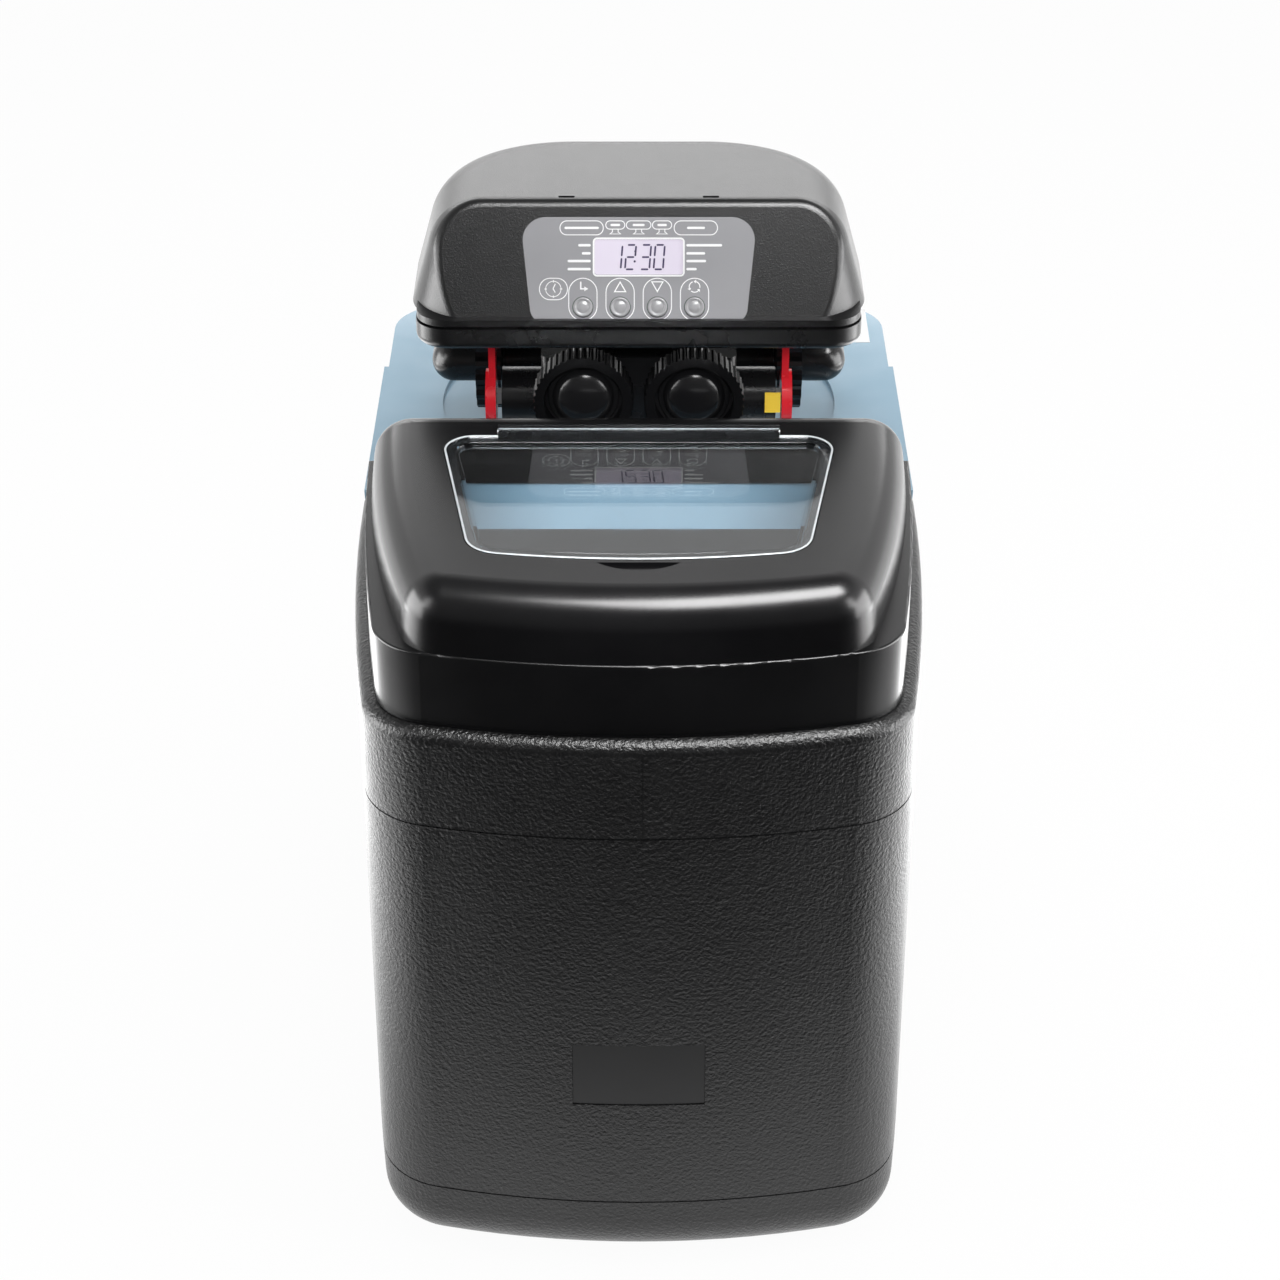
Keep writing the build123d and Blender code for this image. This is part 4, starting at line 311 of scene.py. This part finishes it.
def arc(cx, cy, r, start, end, steps=8):
    turns = [radians(start + (end - start) * i / steps) for i in range(steps + 1)]
    return [(cx + r * cos(a), cy + r * sin(a)) for a in turns]


def rounded(x0, y0, x1, y1, r, steps=8):
    """Outline of a rectangle with round corners."""
    return (arc(x1 - r, y0 + r, r, -90, 0, steps) + arc(x1 - r, y1 - r, r, 0, 90, steps)
            + arc(x0 + r, y1 - r, r, 90, 180, steps) + arc(x0 + r, y0 + r, r, 180, 270, steps))


def lathe(name, profile, centre, along, material, body, steps=48):
    """Turned piece: profile pairs are radius and height."""
    other = along.cross(ACROSS)
    verts, faces = [], []
    for r, h in profile:
        for k in range(steps):
            a = 2 * pi * k / steps
            verts.append(centre + (along * h + (ACROSS * cos(a) + other * sin(a)) * r) / 1000)
    for i in range(len(profile) - 1):
        for k in range(steps):
            j = (k + 1) % steps
            faces.append([i * steps + k, i * steps + j, (i + 1) * steps + j, (i + 1) * steps + k])
    faces.append(list(range(steps)))
    faces.append([(len(profile) - 1) * steps + k for k in range(steps)])
    return mesh_object(name, verts, faces, material, body, smooth=True)


def shell(name, rows, thick, material, push):
    """Thin plate on the cabinet over a grid of points, with its back pushed along a direction."""
    across, down = len(rows[0]), len(rows)
    front = [p for row in rows for p in row]
    back = [p + push * thick / 1000 for p in front]
    faces = []
    total = len(front)
    for i in range(down - 1):
        for k in range(across - 1):
            a = i * across + k
            face = [a, a + 1, a + across + 1, a + across]
            faces.append(face)
            faces.append([v + total for v in reversed(face)])
    rim = (list(range(across)) + [i * across + across - 1 for i in range(1, down)]
           + [(down - 1) * across + k for k in range(across - 2, -1, -1)]
           + [i * across for i in range(down - 2, 0, -1)])
    for k, a in enumerate(rim):
        b = rim[(k + 1) % len(rim)]
        faces.append([a, b, b + total, a + total])
    mesh_object(name, front + back, faces, material, "cabinet")


# Raked front face of the cover, which carries the panel
LEAN = radians(30)
FACE_FRONT, FACE_BOTTOM = -0.020, 0.4605
UP = Vector((0, sin(LEAN), cos(LEAN)))
OUT = Vector((0, -cos(LEAN), sin(LEAN)))


def on_face(x, s, h=0.0):
    """Point on the raked face: across, up the face and out of it."""
    return Vector((0, FACE_FRONT, FACE_BOTTOM)) + (ACROSS * x + UP * s + OUT * h) / 1000


class Print:
    """Collects thin raised shapes on the panel."""

    def __init__(self, height, thickness=0.12):
        self.low = height
        self.high = height + thickness
        self.verts = []
        self.faces = []

    def plate(self, outline):
        n = len(outline)
        base = len(self.verts)
        for h in (self.low, self.high):
            self.verts += [on_face(x, s, h) for x, s in outline]
        self.faces.append([base + n + i for i in range(n)])
        self.faces.append([base + n - 1 - i for i in range(n)])
        for i in range(n):
            j = (i + 1) % n
            self.faces.append([base + i, base + j, base + n + j, base + n + i])

    def bar(self, x0, x1, s, half, corner):
        """Short round-ended bar along a line at height s."""
        self.plate(rounded(x0, s - half, x1, s + half, corner, 4))

    def line(self, points, width, closed=False):
        """Stroke of even width, mitred at its corners."""
        pts = [Vector(p) for p in points]
        pts = [p for i, p in enumerate(pts) if i == 0 or (p - pts[i - 1]).length > 1e-5]
        if closed and (pts[0] - pts[-1]).length < 1e-5:
            pts.pop()
        n = len(pts)
        left, right = [], []
        for i in range(n):
            before = pts[i - 1] if closed or i > 0 else None
            after = pts[(i + 1) % n] if closed or i < n - 1 else None
            dirs = []
            if before is not None:
                dirs.append((pts[i] - before).normalized())
            if after is not None:
                dirs.append((after - pts[i]).normalized())
            d = sum(dirs, Vector((0, 0))).normalized()
            side = Vector((-d.y, d.x))
            stretch = 1 / max(0.5, side.dot(Vector((-dirs[0].y, dirs[0].x))))
            left.append(pts[i] + side * width / 2 * stretch)
            right.append(pts[i] - side * width / 2 * stretch)
        base = len(self.verts)
        for h in (self.low, self.high):
            self.verts += [on_face(p.x, p.y, h) for p in left]
            self.verts += [on_face(p.x, p.y, h) for p in right]
        last = n if closed else n - 1
        for i in range(last):
            j = (i + 1) % n
            a, b, c, d = base + i, base + j, base + n + j, base + n + i
            e, f, g, k = a + 2 * n, b + 2 * n, c + 2 * n, d + 2 * n
            self.faces += [[e, f, g, k], [d, c, b, a], [a, b, f, e], [c, d, k, g]]
        if not closed:
            for i in (0, n - 1):
                self.faces.append([base + i, base + n + i, base + 3 * n + i, base + 2 * n + i])

    def make(self, name, material):
        mesh_object(name, self.verts, self.faces, material, "cover")


# Panel print: outlines, small plain bars and plain symbols
OVERLAY_TOP = 0.25
THIN = 0.5
BUTTON_X = (-31.2, -10.4, 10.4, 31.2)
ink = Print(OVERLAY_TOP)
OUTLINES = [(x - 7.9, 2.6, x + 7.9, 26.2, 7.85) for x in BUTTON_X]
OUTLINES.append((-55.5, 14.2, -39.8, 26.2, 5.95))
# Top row of rounded tabs
WIDE_TAB, NARROW_TAB, TAB_TOP = (50.4, 3.8), (53.6, 2.25), 58.2
for x0, x1, (low, corner) in ((-44.0, -19.8, WIDE_TAB), (-18.4, -7.8, NARROW_TAB), (-6.9, 6.8, NARROW_TAB),
                              (7.7, 18.4, NARROW_TAB), (19.8, 44.0, WIDE_TAB)):
    OUTLINES.append((x0, low, x1, TAB_TOP, corner))
for outline in OUTLINES:
    ink.line(rounded(*outline), THIN, closed=True)
for x in (-13.1, 0.0, 13.0):
    ink.line([(x - 1.6, 53.5), (x - 1.6, 52.0), (x - 3.0, 50.9), (x + 3.0, 50.9), (x + 1.6, 52.0), (x + 1.6, 53.5)],
             THIN)
# Bars in the tabs, and from the display's left and right sides outwards
WIDE_BAR, NARROW_BAR = 54.3, 55.9
for x0, x1, s in ((-41.5, -22.3, WIDE_BAR), (-15.8, -10.4, NARROW_BAR), (-3.4, 3.3, NARROW_BAR),
                  (10.4, 15.7, NARROW_BAR), (27.0, 37.0, WIDE_BAR)):
    ink.bar(x0, x1, s, half=0.65, corner=0.6)
BAR_ROWS = (44.6, 40.1, 35.8, 31.3)
LEFT_BARS_END, RIGHT_BARS_START = -26.8, 26.6
for width, s in zip((7.0, 5.0, 13.0, 13.0), BAR_ROWS):
    ink.bar(LEFT_BARS_END - width, LEFT_BARS_END, s, half=0.7, corner=0.65)
for width, s in zip((20.0, 10.5, 11.0, 5.8), BAR_ROWS):
    ink.bar(RIGHT_BARS_START, RIGHT_BARS_START + width, s, half=0.7, corner=0.65)
# Clock
CLOCK_X, CLOCK_S = -47.7, 20.2
ink.line(arc(CLOCK_X, CLOCK_S, 4.3, 0, 360, 32), THIN * 0.8, closed=True)
for k in range(4):
    a = radians(90 * k)
    ink.line([(CLOCK_X + r * cos(a), CLOCK_S + r * sin(a)) for r in (3.6, 5.0)], THIN)
ink.line([(-46.6, 23.1), (-47.9, 20.3), (-46.6, 18.2)], THIN * 1.1)
# Arrow, and triangles up and down
ink.line([(-32.4, 24.3), (-32.4, 20.3), (-29.9, 20.3)], 0.75)
ink.plate([(-30.4, 21.6), (-28.2, 20.3), (-30.4, 19.0)])
ink.line([(-13.5, 18.7), (-7.3, 18.7), (-10.4, 24.1)], 0.6, closed=True)
ink.line([(7.3, 24.2), (13.5, 24.2), (10.4, 18.8)], 0.6, closed=True)
# Ring of three turning arrows
RING_X, RING_S = 31.2, 21.4
for k in range(3):
    a = 90 + 120 * k
    ink.line(arc(RING_X, RING_S, 3.0, a - 100, a - 12, 8), 0.55)
    tip, root = radians(a + 8), radians(a - 14)
    ink.plate([(RING_X + r * cos(turn), RING_S + r * sin(turn)) for r, turn in ((3.1, tip), (2.0, root), (4.2, root))])
ink.make("panel_print", print_white)

# Display: white rounded frame, and plain clock digits
frame_ring = Print(OVERLAY_TOP - 0.02, 0.35)
frame_ring.line(rounded(-25.2, 27.6, 25.2, 48.4, 1.9), 0.95, closed=True)
frame_ring.make("display_frame", print_white)
DIGIT_WIDTH, DIGIT_HEIGHT, DIGIT_FOOT = 5.2, 13.6, 31.2
DIGIT_SLANT = 0.08
STROKE_HALF, STROKE_GAP, STROKE_POINT = 0.5, 0.45, 0.42
LEFT_TOP, RIGHT_TOP = (0, DIGIT_HEIGHT), (DIGIT_WIDTH, DIGIT_HEIGHT)
LEFT_MID, RIGHT_MID = (0, DIGIT_HEIGHT / 2), (DIGIT_WIDTH, DIGIT_HEIGHT / 2)
LEFT_LOW, RIGHT_LOW = (0, 0), (DIGIT_WIDTH, 0)
STROKES = {"a": (LEFT_TOP, RIGHT_TOP), "b": (RIGHT_TOP, RIGHT_MID), "c": (RIGHT_MID, RIGHT_LOW),
           "d": (LEFT_LOW, RIGHT_LOW), "e": (LEFT_LOW, LEFT_MID), "f": (LEFT_MID, LEFT_TOP), "g": (LEFT_MID, RIGHT_MID)}
digits = Print(0.21, 0.06)


def segment(x, s, key):
    """One slanted bar of a seven-bar digit."""
    a, b = (Vector(end) for end in STROKES[key])
    d = (b - a).normalized()
    a, b = a + d * STROKE_GAP, b - d * STROKE_GAP
    n = Vector((-d.y, d.x)) * STROKE_HALF
    inset = d * STROKE_POINT
    outline = [a, a + inset + n, b - inset + n, b, b - inset - n, a + inset - n]
    digits.plate([(x + p.x + (s + p.y) * DIGIT_SLANT, s + p.y) for p in outline])


# The digits 1, 2, 3 and 0, with a colon between the pairs
for x, strokes in ((-17.8, "bc"), (-10.2, "abged"), (-1.8, "abgcd"), (5.8, "abcdef")):
    for key in strokes:
        segment(x, DIGIT_FOOT, key)
for s in (35.6, 41.2):
    digits.plate(arc(s * DIGIT_SLANT - 5.1, s, 0.66, 0, 360, 12)[:-1])
digits.make("display_digits", lcd_digit)

# Dished keys
BUTTON_ROW = 10.1
BUTTON_PROFILE = [
    (2.2, -3.8), (2.2, -2.5), (5.55, -2.5), (5.58, 0.5), (5.5, 1.1), (5.2, 1.55), (4.8, 1.75), (4.4, 1.7),
    (4.0, 1.4), (3.7, 1.15), (3.4, 1.1), (3.1, 1.25), (2.6, 1.5), (1.8, 1.68), (0.9, 1.76), (0.05, 1.78),
]
for x, name in zip(BUTTON_X, ("next", "up", "down", "regen")):
    key = lathe(name + "_key", BUTTON_PROFILE, on_face(x, BUTTON_ROW), OUT, button_grey,
                name + "_button")
    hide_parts("button_" + name)

# Domed port caps
PORT_X, PORT_HEIGHT, CAP_DEPTH = 31.5, 411.0, 271.7
CAP_RIM, CAP_DOME, CAP_FLANGE, CAP_HEIGHT = 20.5, 17.6, 3.0, 12.0
CAP_STEPS = 15
cap_profile = [(CAP_RIM, 0.0), (CAP_RIM, 2.0), (CAP_RIM - 0.4, 2.6), (CAP_RIM - 1.2, CAP_FLANGE),
               (CAP_DOME + 0.3, CAP_FLANGE)]
for k in range(CAP_STEPS):
    r = CAP_DOME * cos(pi / 2 * k / CAP_STEPS)
    cap_profile.append((r, CAP_FLANGE + (CAP_HEIGHT - CAP_FLANGE) * (1 - (r / CAP_DOME) ** 2) ** 0.5))
cap_profile.append((0.05, CAP_HEIGHT))
for side, name in ((-1, "left"), (1, "right")):
    middle = at(side * PORT_X, CAP_DEPTH, PORT_HEIGHT)
    cap = lathe(name + "_cap_dome", cap_profile, middle, FORWARD, black_gloss, "cabinet")
    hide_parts(name + "_port_cap")

# Bare label plate in its recess and short seam lines, on the bowed front
BOW_HALF, BOW_DEPTH = 140.5, 21.0
BOW_RADIUS = (BOW_HALF ** 2 + BOW_DEPTH ** 2) / (2 * BOW_DEPTH)
LABEL_HALF, LABEL_STEPS, LABEL_SINK = 35.7, 20, 0.75
LABEL_LOW, LABEL_HIGH = 114.3, 154.7
SEAM_X, SEAM_PROUD = (1.8, 2.3), 0.10


def front_depth(x):
    return BOW_RADIUS - (BOW_RADIUS ** 2 - x * x) ** 0.5


label_x = [-LABEL_HALF + 2 * LABEL_HALF * k / LABEL_STEPS for k in range(LABEL_STEPS + 1)]
shell("label_plate", [[at(x, LABEL_SINK + front_depth(x), z) for x in label_x] for z in (LABEL_LOW, LABEL_HIGH)],
      0.5, label_black, BACKWARD)
for name, low, high in (("upper_seam", 290.2, 341.0), ("lower_seam", 46.2, 113.8)):
    shell(name, [[at(x, front_depth(x) - SEAM_PROUD, z) for x in SEAM_X] for z in (low, high)],
          0.3, label_black, BACKWARD)

# Black sheet along the foot of the wall inside the salt mouth: painted shade, darkening the lower part of the blue wall
SHADE_HALF, SHADE_DEPTH = 117.0, 235.6
shell("mouth_painted_shade", [[at(x, SHADE_DEPTH, z) for x in (-SHADE_HALF, 0.0, SHADE_HALF)] for z in (341.0, 307.6)],
      0.3, black_satin, BACKWARD)

# Sticker on the deck, just over the height at which a plumb line meets it
_, deck_point, _, _ = nodes["rear_shroud"].ray_cast(at(135.0, 490.0, 600.0), DOWN)
sticker_height = deck_point.z * 1000 + 0.25
shell("deck_sticker", [[at(x, depth, sticker_height) for x in (119.0, 147.0)] for depth in (468.0, 518.0)],
      0.2, sticker_white, DOWN)

# Tag on the right lever, more bent towards its foot
TAG_DEPTH, TAG_BEND, TAG_TOP = 282.5, 0.4, 407.0


def tag_depth(x, z):
    return TAG_DEPTH - TAG_BEND * sin((x - 70.0) / 4.0) * (TAG_TOP - z) / 12.0


shell("hang_tag", [[at(x, tag_depth(x, z), z) for x in (72.6, 75.0, 77.4, 79.6, 81.6)]
                   for z in (394.0, 398.0, 402.0, 406.5)],
      0.4, tag_yellow, BACKWARD)


# Bead round the hatch, light grey as a painted highlight: it stands in for light caught on the clear plate's edges
def top_loop(node):
    """Longest edge loop of a node's uppermost flat face, as points in order."""
    level = 0.999
    bm = bmesh.new()
    bm.from_mesh(nodes[node].data)
    bmesh.ops.remove_doubles(bm, verts=bm.verts, dist=1e-6)
    flat = [f for f in bm.faces if f.normal.z > level]
    high = max(f.calc_center_median().z for f in flat)
    tops = {f for f in flat if abs(f.calc_center_median().z - high) < 1e-4}
    rim = [e for e in bm.edges if sum(f in tops for f in e.link_faces) == 1]
    loops = []
    while rim:
        edge = rim.pop()
        start, here = edge.verts
        loop = [start.co.copy(), here.co.copy()]
        while here is not start:
            edge = next((e for e in here.link_edges if e in rim), None)
            if edge is None:
                break
            rim.remove(edge)
            here = edge.other_vert(here)
            loop.append(here.co.copy())
        loops.append(loop[:-1] if (loop[0] - loop[-1]).length < 1e-7 else loop)
    bm.free()
    return max(loops, key=lambda points: sum((points[k] - points[k - 1]).length for k in range(len(points))))


def bead(name, loop, rear, inset, width, height, material, body):
    """Half-round bead along a level loop, open behind the rear depth."""
    sunk = 0.05
    loop = [p for k, p in enumerate(loop) if (p - loop[k - 1]).length > 2e-5]
    ahead = [p.y * 1000 + MIDDLE_DEPTH < rear for p in loop]
    first = next(k for k in range(len(loop)) if ahead[k] and not ahead[k - 1])
    loop = [loop[(first + k) % len(loop)] for k in range(len(loop)) if ahead[(first + k) % len(loop)]]
    area_sum = sum(loop[k - 1].x * loop[k].y - loop[k].x * loop[k - 1].y for k in range(len(loop)))
    turn = 1 if area_sum > 0 else -1
    section = [(-width / 2, -sunk), (-width * 0.38, height * 0.62), (-width * 0.15, height * 0.95),
               (width * 0.15, height * 0.95), (width * 0.38, height * 0.62), (width / 2, -sunk)]
    verts, faces = [], []
    count = len(loop)
    for k in range(count):
        before = (loop[max(k, 1)] - loop[max(k, 1) - 1]).normalized()
        after = (loop[min(k + 1, count - 1)] - loop[min(k + 1, count - 1) - 1]).normalized()
        way = (before + after).normalized()
        inward = Vector((-way.y, way.x, 0)) * turn
        stretch = 1 / max(0.6, inward.dot(Vector((-before.y, before.x, 0)) * turn))
        for off, up in section:
            verts.append(loop[k] + inward * (inset + off) * stretch / 1000 + Vector((0, 0, up / 1000)))
    n = len(section)
    for k in range(count - 1):
        for i in range(n):
            m = (i + 1) % n
            faces.append([k * n + i, k * n + m, (k + 1) * n + m, (k + 1) * n + i])
    faces += [list(range(n)), [(count - 1) * n + i for i in range(n)]]
    mesh_object(name, verts, faces, material, body, smooth=True)


bead("hatch_painted_highlight_bead", top_loop("hatch_window"), rear=200.0, inset=0.75, width=1.2, height=0.5,
     material=painted_edge_highlight, body="hatch")

# Floor. It is pale, and glossy surfaces mirror bright and dark stretches of it, as they would a studio's soft boxes
FLOOR_HALF = 6
floor_mesh = bpy.data.meshes.new("floor")
floor_mesh.from_pydata([(-FLOOR_HALF, -FLOOR_HALF, 0), (FLOOR_HALF, -FLOOR_HALF, 0), (FLOOR_HALF, FLOOR_HALF, 0),
                        (-FLOOR_HALF, FLOOR_HALF, 0)], [], [(0, 1, 2, 3)])
floor = bpy.data.objects.new("floor", floor_mesh)
scene.collection.objects.link(floor)
ground = Shader("floor")
ground.bsdf.inputs["Base Color"].default_value = (0.86, 0.86, 0.86, 1)
ground.bsdf.inputs["Roughness"].default_value = 0.9
ground.bsdf.inputs["Specular IOR Level"].default_value = 0.0
place = ground.node("ShaderNodeSeparateXYZ")
ground.link(ground.where, place.inputs[0])
# Brighter towards the object, with a level for each distance to its side, in metres
fall = ground.maths("POWER", ground.ramp(place.outputs["Y"], 0.0, 1.0, -0.95, -0.35), 3.4)
SIDE_REACH = 2.0
SIDE_STEPS = ((0.0, 1.3), (0.25, 1.3), (0.34, 1.6), (0.44, 3.8), (0.54, 3.4), (0.66, 1.1), (0.80, 0.5), (0.92, 0.8),
              (1.02, 5.0), (1.30, 6.5), (1.70, 2.0), (SIDE_REACH, 0.6))
# A colour ramp holds levels up to 1, so they are divided by this and multiplied again
LEVEL_UNIT = 8.0
sides = ground.node("ShaderNodeValToRGB")
ground.link(ground.maths("DIVIDE", ground.maths("ABSOLUTE", place.outputs["X"]), SIDE_REACH), sides.inputs["Fac"])
stops = sides.color_ramp.elements
for x, level in SIDE_STEPS[1:-1]:
    stops.new(x / SIDE_REACH)
for stop, (x, level) in zip(stops, SIDE_STEPS):
    stop.color = (level / LEVEL_UNIT, level / LEVEL_UNIT, level / LEVEL_UNIT, 1)
# Brighter beside the object's rear half, and dim behind it
edge = ground.ramp(place.outputs["Y"], 1.0, 1.9, -0.2, 0.2)
behind = ground.ramp(place.outputs["Y"], 0.0, 1.0, 0.3, 0.6)
beside = ground.choose(behind, ground.maths("MULTIPLY", sides.outputs["Color"], edge), 0.2)
mirrored = ground.maths("MULTIPLY", ground.maths("MULTIPLY", fall, beside), LEVEL_UNIT)
rays = ground.node("ShaderNodeLightPath").outputs
glow = ground.node("ShaderNodeEmission")
ground.link(ground.choose(rays["Is Glossy Ray"], 1.0, mirrored), glow.inputs["Strength"])
# The camera sees the glow through a little of the floor's own shading, which holds the shadow
direct = ground.maths("MULTIPLY", rays["Is Camera Ray"], 0.95)
bounced = ground.maths("MAXIMUM", rays["Is Glossy Ray"], rays["Is Transmission Ray"])
ground.surface(ground.maths("MAXIMUM", direct, bounced), ground.bsdf.outputs[0], glow.outputs[0], "Material Output")
floor_mesh.materials.append(ground.material)

# World: white where the camera sees it, soft on the object, and darker in its gloss at the front and overhead
world = bpy.data.worlds.new("world")
scene.world = world
world.use_nodes = True
air = Tree(world.node_tree)
soft = world.node_tree.nodes["Background"]
bright = air.node("ShaderNodeBackground")
for background in (soft, bright):
    background.inputs["Color"].default_value = (1, 1, 1, 1)
soft.inputs["Strength"].default_value = 0.45
rays = air.node("ShaderNodeLightPath").outputs
heading = air.node("ShaderNodeSeparateXYZ")
air.link(air.node("ShaderNodeTexCoord").outputs["Generated"], heading.inputs[0])
front = air.ramp(heading.outputs["Y"], 0.15, 1.0, -0.7, 0.0)
overhead = air.ramp(heading.outputs["Z"], 1.0, 0.2, 0.56, 0.78)
sky = air.maths("MULTIPLY", front, overhead)
air.link(air.choose(rays["Is Glossy Ray"], 1.0, sky), bright.inputs["Strength"])
seen = air.maths("MAXIMUM", rays["Is Camera Ray"], rays["Is Glossy Ray"])
air.surface(air.maths("MAXIMUM", seen, rays["Is Transmission Ray"]), soft.outputs[0], bright.outputs[0], "World Output")


# Lamps: sizes and places in metres, powers in watts
def aim(lamp, target):
    lamp.rotation_euler = (Vector(target) - lamp.location).to_track_quat("-Z", "Y").to_euler()
    scene.collection.objects.link(lamp)


def area(name, location, target, size, power):
    data = bpy.data.lights.new(name, "AREA")
    data.shape = "RECTANGLE"
    data.size, data.size_y = size
    data.energy = power
    lamp = bpy.data.objects.new(name, data)
    lamp.location = location
    aim(lamp, target)
    return lamp


def shine(name, location, target, size, radiance):
    """Soft box that shows only in glossy surfaces."""
    lamp = area(name, location, target, size, radiance * pi * size[0] * size[1])
    lamp.visible_diffuse = False
    lamp.visible_camera = False
    lamp.visible_transmission = False


def lamp_only(name, location, target, size, power):
    """Soft box that lights the surfaces and shows in none of them."""
    lamp = area(name, location, target, size, power)
    lamp.visible_glossy = False


lamp_only("top_light", (0.0, 0.3, 2.2), (0.0, 0.0, 0.3), (1.6, 1.6), 17)
lamp_only("left_light", (-2.0, -0.4, 0.9), (0.0, 0.0, 0.3), (1.2, 1.8), 8)
lamp_only("right_light", (2.0, -0.4, 0.9), (0.0, 0.0, 0.3), (1.2, 1.8), 28)
lamp_only("front_light", (0.0, -2.4, 1.9), (0.0, -0.1, 0.3), (1.2, 0.6), 23)
shine("ridge_box", (0.42, -0.66, 2.1), (0.0, -0.1, 0.4), (1.3, 0.78), 22.0)
shine("left_high_box", (-1.3, -0.85, 1.1), (0.0, -0.1, 0.4), (0.4, 0.6), 5.0)
shine("right_high_box", (1.3, -0.85, 1.1), (0.0, -0.1, 0.4), (0.4, 0.6), 7.0)
shine("left_box", (-1.5, -0.2, 0.5), (0.0, -0.1, 0.4), (1.3, 0.85), 8.0)
shine("right_box", (1.5, -0.2, 0.5), (0.0, -0.1, 0.4), (1.3, 0.85), 7.0)
shine("rear_box", (0.0, 2.2, 1.05), (0.0, 0.1, 0.5), (2.6, 0.36), 3.35)

# Narrow beam through the clear hatch on the blue wall inside
beam = bpy.data.lights.new("hatch_beam", "SPOT")
beam.energy = 470
beam.spot_size = radians(4.0)
beam.spot_blend = 0.4
beam.shadow_soft_size = 0.05
beam_lamp = bpy.data.objects.new("hatch_beam", beam)
beam_lamp.location = (0.0, -2.4, 1.9)
beam_lamp.visible_glossy = False
aim(beam_lamp, (0.0, -0.045, 0.345))

bpy.context.view_layer.update()
